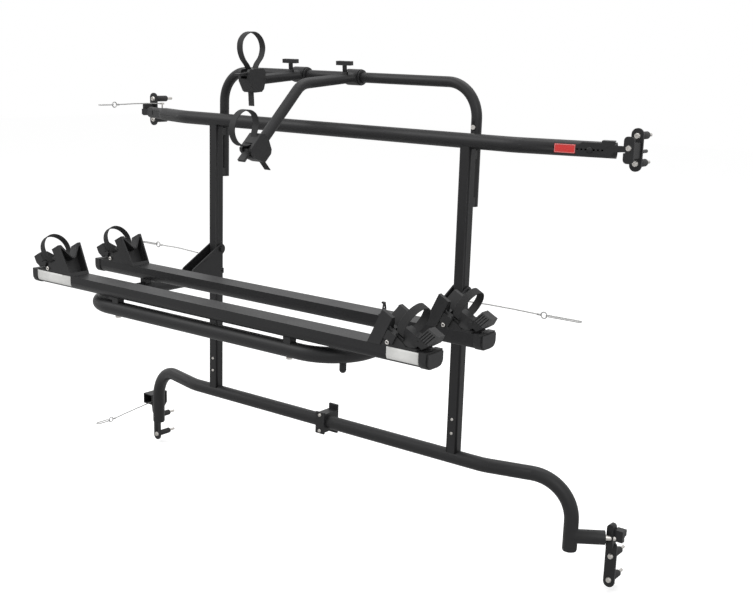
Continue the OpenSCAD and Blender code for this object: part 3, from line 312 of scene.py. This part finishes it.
def piece(name, bm, kind, body, *nodes, smooth=True):
    """A mesh piece of one finish on one body, standing for the named nodes."""
    bmesh.ops.recalc_face_normals(bm, faces=bm.faces)
    mesh = bpy.data.meshes.new(name)
    bm.to_mesh(mesh)
    bm.free()
    for face in mesh.polygons:
        face.use_smooth = smooth
    obj = bpy.data.objects.new(name, mesh)
    bpy.context.scene.collection.objects.link(obj)
    mesh.materials.append(finish_of(kind))
    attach(obj, body)
    if nodes:
        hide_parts(*nodes)
    return obj


def rounded_edges(obj, width, angle=32, segments=2):
    bevel = obj.modifiers.new("rounded", "BEVEL")
    bevel.width, bevel.segments, bevel.limit_method = width, segments, "ANGLE"
    bevel.angle_limit = math.radians(angle)
    bevel.harden_normals = True
    bevel.miter_outer = "MITER_ARC"
    return obj


def loft(bm, rings, closed=False):
    """Faces between rings of points, capped at both ends unless the loft is closed."""
    rows = [[bm.verts.new(p) for p in ring] for ring in rings]
    pairs = list(zip(rows, rows[1:])) + ([(rows[-1], rows[0])] if closed else [])
    for a, b in pairs:
        for i in range(len(a)):
            j = (i + 1) % len(a)
            bm.faces.new((a[i], a[j], b[j], b[i]))
    if not closed:
        bm.faces.new(rows[0][::-1])
        bm.faces.new(rows[-1])
    return rows


def sweep(bm, points, radius, sides=10, closed=False):
    """A round wire along points."""
    points = [Vector(p) for p in points]
    count = len(points)
    side = None
    rings = []
    for i, p in enumerate(points):
        before = points[i - 1] if (i or closed) else p
        after = points[(i + 1) % count] if (i < count - 1 or closed) else p
        along = (after - before).normalized()
        if side is None:
            side = along.orthogonal().normalized()
        side = (side - along * side.dot(along)).normalized()
        other = along.cross(side)
        rings.append([p + radius * (math.cos(a) * side + math.sin(a) * other)
                      for a in (2 * math.pi * k / sides for k in range(sides))])
    loft(bm, rings, closed)


def lathe(bm, profile, to_world, sides=32):
    """Turns (radius, height) pairs about the third axis of to_world."""
    rings = []
    for radius, height in profile:
        rings.append([to_world @ Vector((radius * math.cos(a), radius * math.sin(a), height))
                      for a in (2 * math.pi * k / sides for k in range(sides))])
    loft(bm, rings)


def band(bm, line, width, thickness, to_world, rib=0.0, ribbed=(0.0, 1.0)):
    """A strap along a line of (depth, height) points; every other step of the ribbed share
    stands proud by rib. to_world takes (across, depth, height)."""
    rings, count = [], len(line)
    for i, (y, z) in enumerate(line):
        ya, za = line[max(i - 1, 0)]
        yb, zb = line[min(i + 1, count - 1)]
        length = math.hypot(yb - ya, zb - za)
        ny, nz = (zb - za) / length, -(yb - ya) / length
        share = i / (count - 1)
        proud = rib if ribbed[0] < share < ribbed[1] and i % 4 in (1, 2) else 0.0
        half, c = width / 2, 0.0006
        out, inn = thickness / 2 + proud, -thickness / 2
        section = [(-half, inn + c), (-half + c, inn), (half - c, inn), (half, inn + c),
                   (half, thickness / 2 - c), (half - c, out), (-half + c, out),
                   (-half, thickness / 2 - c)]
        rings.append([to_world @ Vector((x, y + d * ny, z + d * nz)) for x, d in section])
    loft(bm, rings)


def smooth_line(points, steps):
    """A closed-form spline through points, resampled to steps equal parts."""
    dense = []
    for i in range(len(points) - 1):
        p0 = points[max(i - 1, 0)]
        p1, p2 = points[i], points[i + 1]
        p3 = points[min(i + 2, len(points) - 1)]
        for k in range(24):
            t = k / 24
            dense.append(tuple(
                0.5 * (2 * b + (c - a) * t + (2 * a - 5 * b + 4 * c - d) * t * t
                       + (3 * b - a - 3 * c + d) * t ** 3)
                for a, b, c, d in zip(p0, p1, p2, p3)))
    dense.append(tuple(points[-1]))
    reach = [0.0]
    for a, b in zip(dense, dense[1:]):
        reach.append(reach[-1] + math.dist(a, b))
    line, j = [], 0
    for k in range(steps + 1):
        goal = reach[-1] * k / steps
        while j < len(reach) - 2 and reach[j + 1] < goal:
            j += 1
        t = (goal - reach[j]) / (reach[j + 1] - reach[j])
        line.append(tuple(a + (b - a) * t for a, b in zip(dense[j], dense[j + 1])))
    return line


# ---------------------------------------------------------------- frames of the parts

def holder_frame(side, row):
    """X outboard from the inner foot, Z up from the rail; the left ones turn half round."""
    turn = Matrix.Rotation(math.pi if side == "left" else 0, 4, "Z")
    return (Matrix.Translation((0, ROWS[row], RAIL_TOP + 0.0001)) @ turn
            @ Matrix.Translation((HOLDER_FEET[side], 0, 0)))


def lean_frame(side, row):
    return holder_frame(side, row) @ Matrix.Rotation(LEAN, 4, "Y")


def arm_frame(name):
    """The arm's head: its tube comes in along +Y, the loop stands up along +Z."""
    start = (Matrix.Translation((ARMS[name], HOOP_DEPTH, HOOP_TOP))
             @ Matrix.Rotation(DROOP, 4, "X"))
    if name == "short":
        return start @ Matrix.Translation((0, -SHORT_REACH, 0))
    return (start @ Matrix.Translation((0, -LONG_REACH, 0)) @ Matrix.Rotation(LONG_BEND, 4, "X")
            @ Matrix.Translation((0, -LONG_END, 0)))


def on_bar_end(u, out, z):
    """A point u along the crossbar's right end, out in front of its axis, z over it."""
    x = BAR_KNEE + u * math.cos(BAR_BEND) + out * math.sin(BAR_BEND)
    y = u * math.sin(BAR_BEND) - out * math.cos(BAR_BEND)
    return Vector((x, y - FOOT, BAR_HEIGHT + z))


# ---------------------------------------------------------------- operators

CAMERA_PLACE = (1.7718, -2.2314, 0.9515)
CAMERA_TURNS = (36.39, 12.448, 1.84)    # azimuth, height and roll, in degrees
PICTURE_WIDTH, FOCAL_LENGTH, SENSOR = 753, 1123.89, 36.0    # two in pixels, one in mm


class CARRIER_OT_camera(Operator):
    """Sets up the camera at the photograph's view"""
    bl_idname = "carrier.camera"
    bl_label = "Camera"

    def execute(self, context):
        az, el, roll = (math.radians(v) for v in CAMERA_TURNS)
        forward = Vector((-math.sin(az) * math.cos(el), math.cos(az) * math.cos(el),
                          -math.sin(el)))
        right = Vector((math.cos(az), math.sin(az), 0))
        up = right.cross(forward)
        r = math.cos(roll) * right + math.sin(roll) * up
        u = -math.sin(roll) * right + math.cos(roll) * up
        data = bpy.data.cameras.new("photo_camera")
        data.sensor_fit, data.sensor_width = "HORIZONTAL", SENSOR
        data.lens = FOCAL_LENGTH * SENSOR / PICTURE_WIDTH
        data.clip_end = 60
        camera = bpy.data.objects.new("photo_camera", data)
        x, y, z = CAMERA_PLACE
        camera.matrix_world = Matrix((
            (r.x, u.x, -forward.x, x), (r.y, u.y, -forward.y, y),
            (r.z, u.z, -forward.z, z), (0, 0, 0, 1)))
        context.scene.collection.objects.link(camera)
        context.scene.camera = camera
        return {"FINISHED"}


ROUTES = {
    "upper_left_cable": ("frame", [
        (-656, 0, 788.5), (-656, -10, 789), (-656, -20.5, 789), (-656, -30.5, 789.5),
        (-656, -41, 789.5), (-656, -51, 790), (-656, -61, 790), (-656, -71.5, 790),
        (-656, -81.5, 790), (-656, -92, 790), (-656, -102, 790), (-656, -112, 789.5),
        (-656, -122.5, 789.5), (-656, -132.5, 789), (-656, -143, 789), (-656, -153, 788.5)]),
    "lower_left_cable": ("frame", [
        (-734, 24, -120), (-735, 14, -121.5), (-735.5, 4.5, -122.5), (-736.5, -5.5, -124),
        (-737, -15, -125.5), (-738, -25, -127), (-738.5, -34.5, -128), (-739.5, -44.5, -130),
        (-740.5, -54.5, -131.5), (-741, -64, -133), (-742, -74, -134.5), (-742.5, -83.5, -136),
        (-743.5, -93.5, -138), (-744, -103, -139.5), (-745, -113, -141.5)]),
    "platform_left_cable": ("platform", [
        (-420.5, -87, 400), (-428, -87, 400), (-437, -87, 400.5), (-446, -87, 401),
        (-455, -87, 401.5), (-464, -87, 402), (-473, -87, 402.5), (-482, -87, 403),
        (-491, -87, 403.5), (-500, -87, 403.5), (-510, -87, 403.5), (-520, -87, 403.5),
        (-530, -87, 403.5), (-540, -87, 403), (-551, -87, 403), (-562, -87, 403)]),
    "platform_right_cable": ("platform", [
        (420.5, -87, 400), (430, -87, 400), (442, -87, 400.5), (454, -87, 401),
        (466, -87, 401.5), (478, -87, 402), (490, -87, 402), (502, -87, 402.5),
        (514, -87, 402.5), (526, -87, 402.5), (538, -87, 402.5), (550, -87, 402.5),
        (562, -87, 402.5), (574, -87, 402.5), (586, -87, 402), (598, -87, 402),
        (610, -87, 401.5), (620, -87, 401.5), (631, -87, 401)]),
}


class CARRIER_OT_safety_cables(Operator):
    """Lays the four steel safety cables along their routes"""
    bl_idname = "carrier.safety_cables"
    bl_label = "Safety cables"

    def execute(self, context):
        width = sizes().cable_width
        pins = {"frame": lock_pins("frame"), "platform": lock_pins("platform")}
        for name, (body, route) in ROUTES.items():
            points = [Vector(p) * MM for p in route]
            curve = bpy.data.curves.new(name, "CURVE")
            curve.dimensions, curve.bevel_depth = "3D", width / 2
            curve.bevel_resolution, curve.use_fill_caps = 3, True
            spline = curve.splines.new("POLY")
            spline.points.add(len(points) - 1)
            for point, place in zip(spline.points, points):
                point.co = (*place, 1)
            curve.materials.append(finish_of("cable"))
            cable = bpy.data.objects.new("steel_" + name, curve)
            context.scene.collection.objects.link(cable)
            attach(cable, body)
            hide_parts(name)
        return {"FINISHED"}


# A lock pin's wire, ring and bail, from the cable's end outward; (radius, height) for the crimp
PIN_WIRE = 0.0014
RING_MIDDLE, RING_RADIUS = 0.016, 0.007
BAIL_START, BAIL_RADIUS = 0.028, 0.006
BAIL_LENGTHS = {"upper_left_cable": 46, "lower_left_cable": 46,
                "platform_left_cable": 58, "platform_right_cable": 84}
CRIMP = [(0.0016, -0.001), (0.0025, 0), (0.0025, 0.0028), (0.0021, 0.0034),
         (0.0021, 0.0048), (0.0025, 0.0054), (0.0025, 0.008), (0.0018, 0.009)]


def lock_pins(body):
    """The crimp, ring and wire bail at each cable's end, by cable."""
    pins = {}
    for name, (owner, route) in ROUTES.items():
        if owner != body:
            continue
        last, ahead = Vector(route[-1]) * MM, Vector((0, -1, 0))
        if owner == "platform":
            ahead = Vector((math.copysign(1, last.x), 0, 0))
        side = Vector((0, 0, 1)).cross(ahead).normalized()
        up = ahead.cross(side)
        to_world = Matrix((*zip(ahead, side, up),)).to_4x4()
        to_world.translation = last
        owners = body + "_lock_pins"
        bm = bmesh.new()
        lathe(bm, CRIMP, to_world @ Matrix.Rotation(math.pi / 2, 4, "Y"), 20)
        ring = [to_world @ Vector((RING_MIDDLE + RING_RADIUS * math.cos(a), 0,
                                   RING_RADIUS * math.sin(a)))
                for a in (2 * math.pi * k / 36 for k in range(36))]
        sweep(bm, ring, PIN_WIRE, closed=True)
        pins[name] = piece(name + "_ring", bm, "wire", body, owners)
        bm = bmesh.new()
        start, r = BAIL_START, BAIL_RADIUS
        run = BAIL_LENGTHS[name] * MM - 2 * r
        loop = [(start + run * k / 6, -r) for k in range(7)]
        loop += [(start + run + r * math.sin(a), -r * math.cos(a))
                 for a in (math.pi * k / 12 for k in range(1, 12))]
        loop += [(start + run * (1 - k / 6), r) for k in range(7)]
        loop += [(start - r * math.sin(a), r * math.cos(a))
                 for a in (math.pi * k / 12 for k in range(1, 12))]
        sweep(bm, [to_world @ Vector((x, y, 0)) for x, y in loop], PIN_WIRE, closed=True)
        piece(name.replace("cable", "lock_pin"), bm, "wire", body, owners)
    return pins


# Finish and edge rounding, in millimetres, of every node that shows its own solids
KEPT = {
    "coat": {"upper_crossbar": 0, "lower_tube": 0, "posts": 0, "foot_bracket": 1.2,
             "upper_left_clamp": 1.0, "lower_left_clamp": 1.0, "slide_plate": 0.5,
             "upper_right_clamp": 0.8, "lower_right_clamp": 1.0, "hoop": 0,
             "short_arm_tube": 0, "long_arm_tube": 0, "platform_tube": 0,
             "hinge_plates": 0.6, "front_rail": 0.3, "rear_rail": 0.3, "hinge_pins": 0.7},
    "plastic": {"hoop_guides": 1, "short_arm_liner": 0.8, "long_arm_liner": 0.8,
                "short_arm_head": 1.6, "long_arm_head": 1.6, "short_arm_lever": 1.2,
                "long_arm_lever": 1.2, "short_arm_knob": 2.0, "long_arm_knob": 2.0,
                "rail_caps": 1.6, "rail_saddles": 1.0, "fold_clips": 0.6,
                "front_left_chute": 1.0, "front_right_chute": 1.0, "rear_left_chute": 1.0,
                "rear_right_chute": 1.0, "front_left_lever": 0.8, "front_right_lever": 0.8,
                "rear_left_lever": 0.8, "rear_right_lever": 0.8},
    "rubber": {"left_sleeves": 1.2, "upper_right_sleeves": 1.2, "lower_right_sleeves": 1.2},
    "steel": {"frame_screws": 0.5, "upper_right_screws": 0.5,
              "lower_right_screws": 0.5, "hoop_lock_pin": 0.5, "short_arm_ring": 0.2,
              "long_arm_ring": 0.2, "rail_screws": 0.6},
    "lens": {"reflector": 0.9},
}


class CARRIER_OT_frame_finishes(Operator):
    """Gives each solid of the frame its finish and rounded edges"""
    bl_idname = "carrier.frame_finishes"
    bl_label = "Frame finishes"

    def execute(self, context):
        for kind, nodes in KEPT.items():
            for name, width in nodes.items():
                node = NODES[name]
                node.data.materials.clear()
                node.data.materials.append(finish_of(kind))
                weld = node.modifiers.new("joined", "WELD")
                weld.merge_threshold = 1e-6
                if width:
                    rounded_edges(node, width * MM)
        return {"FINISHED"}


# A wheel strap's arc, in the chute's own frame, and the share of it that has ribs
LOOP_RADIUS, LOOP_CENTRE, LOOP_FLOOR, LOOP_U = 0.0366, 0.0885, 0.0560, 0.056
WHEEL_STRAP, RIB, RIBBED = 0.0018, 0.0005, (0.04, 0.96)


class CARRIER_OT_wheel_straps(Operator):
    """Builds the four ribbed wheel straps"""
    bl_idname = "carrier.wheel_straps"
    bl_label = "Wheel straps"

    def execute(self, context):
        size = sizes()
        start = math.asin((LOOP_FLOOR - LOOP_CENTRE) / LOOP_RADIUS)
        arc = math.pi - 2 * start
        steps = int(arc * LOOP_RADIUS / size.rib_pitch) * 4
        line = [(LOOP_RADIUS * math.cos(a), LOOP_CENTRE + LOOP_RADIUS * math.sin(a))
                for a in (start + arc * k / steps for k in range(steps + 1))]
        for row in ROWS:
            for side in ("left", "right"):
                to_world = lean_frame(side, row) @ Matrix.Translation((LOOP_U, 0, 0))
                bm = bmesh.new()
                band(bm, line, size.strap_width, WHEEL_STRAP, to_world, RIB, RIBBED)
                piece(f"{row}_{side}_ribbed_strap", bm, "rubber", f"{row}_{side}_holder",
                      f"{row}_{side}_strap", smooth=False)
        return {"FINISHED"}


# (radius, height) of a bolt's head; (along, across, side it faces) of its seats in a holder
BOLT_HEAD = [(0.0001, 0.0), (0.0046, 0.0), (0.0050, 0.0006), (0.0047, 0.0016),
             (0.0038, 0.0025), (0.0024, 0.0028), (0.0022, 0.0014), (0.0001, 0.0013)]
BOLT_SEATS = ((0.050, -0.0292, 1), (0.086, 0.0292, -1))
BOLT_HEIGHT = 0.008


class CARRIER_OT_holder_bolts(Operator):
    """Sets the bright bolts into the wheel holders"""
    bl_idname = "carrier.holder_bolts"
    bl_label = "Holder bolts"

    def execute(self, context):
        for row in ROWS:
            for side in ("left", "right"):
                bm = bmesh.new()
                base = holder_frame(side, row)
                for u, v, turn in BOLT_SEATS:
                    lathe(bm, BOLT_HEAD, base @ Matrix.Translation((u, v, BOLT_HEIGHT))
                          @ Matrix.Rotation(turn * math.pi / 2, 4, "X"), 24)
                piece(f"{row}_{side}_bolts", bm, "steel", f"{row}_{side}_holder")
        return {"FINISHED"}


# The slide bolt's dome, as (radius, height), and the reflector's rim, a rounded rectangle
DOME = [(0.0001, 0.0), (0.0068, 0.0), (0.0068, 0.0012), (0.0062, 0.0026),
        (0.0048, 0.0038), (0.0028, 0.0045), (0.0001, 0.0048)]
DOME_U, DOME_OUT = 0.170, 0.0211
RIM_U, RIM_OUT, RIM_HALF = 0.116, 0.0206, (0.0219, 0.0084)
RIM_ROUND, RIM_WIRE = 0.0025, 0.0006


class CARRIER_OT_bar_end_details(Operator):
    """Adds the slide bolt's dark dome and the reflector's pale rim on the crossbar's end"""
    bl_idname = "carrier.bar_end_details"
    bl_label = "Bar end details"

    def execute(self, context):
        bm = bmesh.new()
        turn = Matrix.Rotation(BAR_BEND, 4, "Z") @ Matrix.Rotation(math.pi / 2, 4, "X")
        lathe(bm, DOME, Matrix.Translation(on_bar_end(DOME_U, DOME_OUT, 0)) @ turn)
        piece("slide_bolt_dome", bm, "coat", "upper_slider")
        bm = bmesh.new()
        inner_u, inner_z = (half - RIM_ROUND for half in RIM_HALF)
        rim = []
        for degrees in range(0, 360, 15):
            a, quarter = math.radians(degrees), math.radians(degrees + 0.01)
            rim.append(on_bar_end(
                RIM_U + math.copysign(inner_u, math.cos(quarter)) + RIM_ROUND * math.cos(a),
                RIM_OUT,
                math.copysign(inner_z, math.sin(quarter)) + RIM_ROUND * math.sin(a)))
        sweep(bm, rim, RIM_WIRE, 8, closed=True)
        piece("reflector_rim", bm, "rim", "frame")
        return {"FINISHED"}


# (depth, height) along each arm's loop, in millimetres in the head's frame
ARM_LOOPS = {
    "short": [(-11, 27), (-18, 38), (-31, 54), (-38, 75), (-34, 96), (-18, 110), (2, 114),
              (20, 109), (35, 95), (41, 75), (34, 54), (18, 38), (11, 27)],
    "long": [(-11, 27), (-21, 33), (-32, 45), (-37, 63), (-31, 83), (-15, 96), (5, 100),
             (25, 95), (40, 80), (45, 61), (36, 43), (20, 33), (11, 27)],
}
ARM_TAIL = [(-0.0068, -0.0275), (-0.0068, -0.040), (-0.0068, -0.061)]
LOOP_STRAP, TAIL_STRAP, TAIL_RIB = 0.0024, 0.0019, 0.0005


class CARRIER_OT_arm_straps(Operator):
    """Builds the two arms' straps, from the tail under the head to the loop"""
    bl_idname = "carrier.arm_straps"
    bl_label = "Arm straps"

    def execute(self, context):
        width = sizes().strap_width
        for name, loop in ARM_LOOPS.items():
            bm = bmesh.new()
            to_world = arm_frame(name)
            line = smooth_line([(y * MM, z * MM) for y, z in loop], 120)
            band(bm, line, width, LOOP_STRAP, to_world)
            band(bm, smooth_line(ARM_TAIL, 40), width, TAIL_STRAP, to_world, TAIL_RIB)
            piece(name + "_arm_loop_strap", bm, "rubber", name + "_arm", name + "_arm_strap",
                  smooth=False)
        return {"FINISHED"}


# The bare plates' ends along the rail, and the flat part of their height from its top
PLATES = {"left": (-0.546, -0.419), "right": (0.536, 0.612)}
PLATE_DROPS = (0.0006, 0.006, 0.011, 0.0165)
PLATE_THICK = 0.0003


class CARRIER_OT_bare_plates(Operator):
    """Lays the two bare pale plates on the front rail's face"""
    bl_idname = "carrier.bare_plates"
    bl_label = "Bare plates"

    def execute(self, context):
        front, corner = ROWS["front"] - RAIL_FACE, RAIL_ROUND
        for name, ends in PLATES.items():
            bm = bmesh.new()
            rings = []
            for lift in (0.0, PLATE_THICK):
                profile = [(front - lift, RAIL_TOP - drop) for drop in PLATE_DROPS]
                profile += [(front + corner - (corner + lift) * math.cos(a),
                             RAIL_TOP - RAIL_HALF + corner - (corner + lift) * math.sin(a))
                            for a in (math.radians(7 * k) for k in range(1, 6))]
                for x in ends:
                    rings.append([Vector((x, y, z)) for y, z in profile])
            low0, low1, high0, high1 = [[bm.verts.new(p) for p in ring] for ring in rings]
            for i in range(len(low0) - 1):
                bm.faces.new((low0[i], low0[i + 1], low1[i + 1], low1[i]))
                bm.faces.new((high0[i], high1[i], high1[i + 1], high0[i + 1]))
                bm.faces.new((low0[i], high0[i], high0[i + 1], low0[i + 1]))
                bm.faces.new((low1[i], low1[i + 1], high1[i + 1], high1[i]))
            for i in (0, len(low0) - 1):
                bm.faces.new((low0[i], low1[i], high1[i], high0[i]))
            piece(f"front_rail_{name}_plate", bm, "plate", "platform")
        return {"FINISHED"}


FLOOR_HALF, FLOOR_GAP = 14, 0.012
# Place, aim, side and watts of each soft lamp
LAMPS = {
    "key_lamp": ((-2.2, -2.6, 3.4), (0, 0, 0.4), 2.2, 60),
    "fill_lamp": ((3.0, -2.2, 2.0), (0, 0, 0.4), 2.0, 25),
    "top_lamp": ((0.3, 0.6, 3.6), (0, -0.1, 0.4), 2.6, 45),
}


class CARRIER_OT_studio(Operator):
    """Sets the pale floor, the soft lamps and the white surroundings"""
    bl_idname = "carrier.studio"
    bl_label = "Studio"

    def execute(self, context):
        scene = context.scene
        scene.view_settings.view_transform = "Standard"
        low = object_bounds()[0][2] - FLOOR_GAP
        bm = bmesh.new()
        bmesh.ops.create_grid(bm, x_segments=1, y_segments=1, size=FLOOR_HALF)
        mesh = bpy.data.meshes.new("floor")
        bm.to_mesh(mesh)
        bm.free()
        floor = bpy.data.objects.new("floor", mesh)
        floor.location = (0, 0, low)
        scene.collection.objects.link(floor)
        floor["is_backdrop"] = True
        finish = Finish("pale_floor", **{
            "Roughness": 0.9, "Specular IOR Level": 0.0, "Emission Strength": 0.3})
        seen = finish.add("ShaderNodeLightPath", {}, {}, "Is Camera Ray")
        finish.set(Base_Color=finish.mix(seen, (0.6, 0.6, 0.6, 1), (0.92, 0.92, 0.92, 1)),
                   Emission_Color=finish.mix(seen, (0, 0, 0, 1), (1, 1, 1, 1)))
        mesh.materials.append(finish.material)

        world = bpy.data.worlds.new("white_room")
        scene.world = world
        world.use_nodes = True
        tree = world.node_tree
        tree.nodes.clear()
        path = tree.nodes.new("ShaderNodeLightPath")
        camera = Wire(tree, path.outputs["Is Camera Ray"])
        glossy = Wire(tree, path.outputs["Is Glossy Ray"])
        through = Wire(tree, path.outputs["Is Transmission Ray"])
        shown = camera.maths("MAXIMUM", camera, camera.maths("MAXIMUM", through, glossy))
        dim = tree.nodes.new("ShaderNodeBackground")
        bright = tree.nodes.new("ShaderNodeBackground")
        for light, strength in ((dim, 0.75), (bright, 1.0)):
            light.inputs[0].default_value, light.inputs[1].default_value = (1, 1, 1, 1), strength
        mix = tree.nodes.new("ShaderNodeMixShader")
        out = tree.nodes.new("ShaderNodeOutputWorld")
        feed(tree, shown, mix.inputs[0])
        tree.links.new(dim.outputs[0], mix.inputs[1])
        tree.links.new(bright.outputs[0], mix.inputs[2])
        tree.links.new(mix.outputs[0], out.inputs[0])

        for name, (place, aim, size, power) in LAMPS.items():
            data = bpy.data.lights.new(name, "AREA")
            data.shape, data.size, data.energy = "SQUARE", size, power
            lamp = bpy.data.objects.new(name, data)
            lamp.location = place
            lamp.rotation_euler = (Vector(aim) - Vector(place)).to_track_quat("-Z", "Y").to_euler()
            scene.collection.objects.link(lamp)
        return {"FINISHED"}


class CARRIER_PT_panel(Panel):
    """Lists the carrier's steps and settings"""
    bl_idname = "CARRIER_PT_panel"
    bl_label = "Rear bike carrier"
    bl_space_type = "VIEW_3D"
    bl_region_type = "UI"
    bl_category = "Carrier"

    def draw(self, context):
        column = self.layout.column()
        for step in STEPS:
            column.operator(step.bl_idname)
        for group in (context.scene.carrier_sizes, context.scene.carrier_colours):
            for key in group.__annotations__:
                column.prop(group, key)


STEPS = (CARRIER_OT_camera, CARRIER_OT_safety_cables, CARRIER_OT_frame_finishes,
         CARRIER_OT_wheel_straps, CARRIER_OT_holder_bolts, CARRIER_OT_bar_end_details,
         CARRIER_OT_arm_straps, CARRIER_OT_bare_plates, CARRIER_OT_studio)
CLASSES = (CarrierSizes, CarrierColours, *STEPS, CARRIER_PT_panel)


def register():
    for cls in CLASSES:
        bpy.utils.register_class(cls)
    bpy.types.Scene.carrier_sizes = PointerProperty(type=CarrierSizes)
    bpy.types.Scene.carrier_colours = PointerProperty(type=CarrierColours)


def unregister():
    del bpy.types.Scene.carrier_colours
    del bpy.types.Scene.carrier_sizes
    for cls in reversed(CLASSES):
        bpy.utils.unregister_class(cls)


def main():
    register()
    for step in STEPS:
        group, name = step.bl_idname.split(".")
        getattr(getattr(bpy.ops, group), name)()


if __name__ == "__main__":
    main()
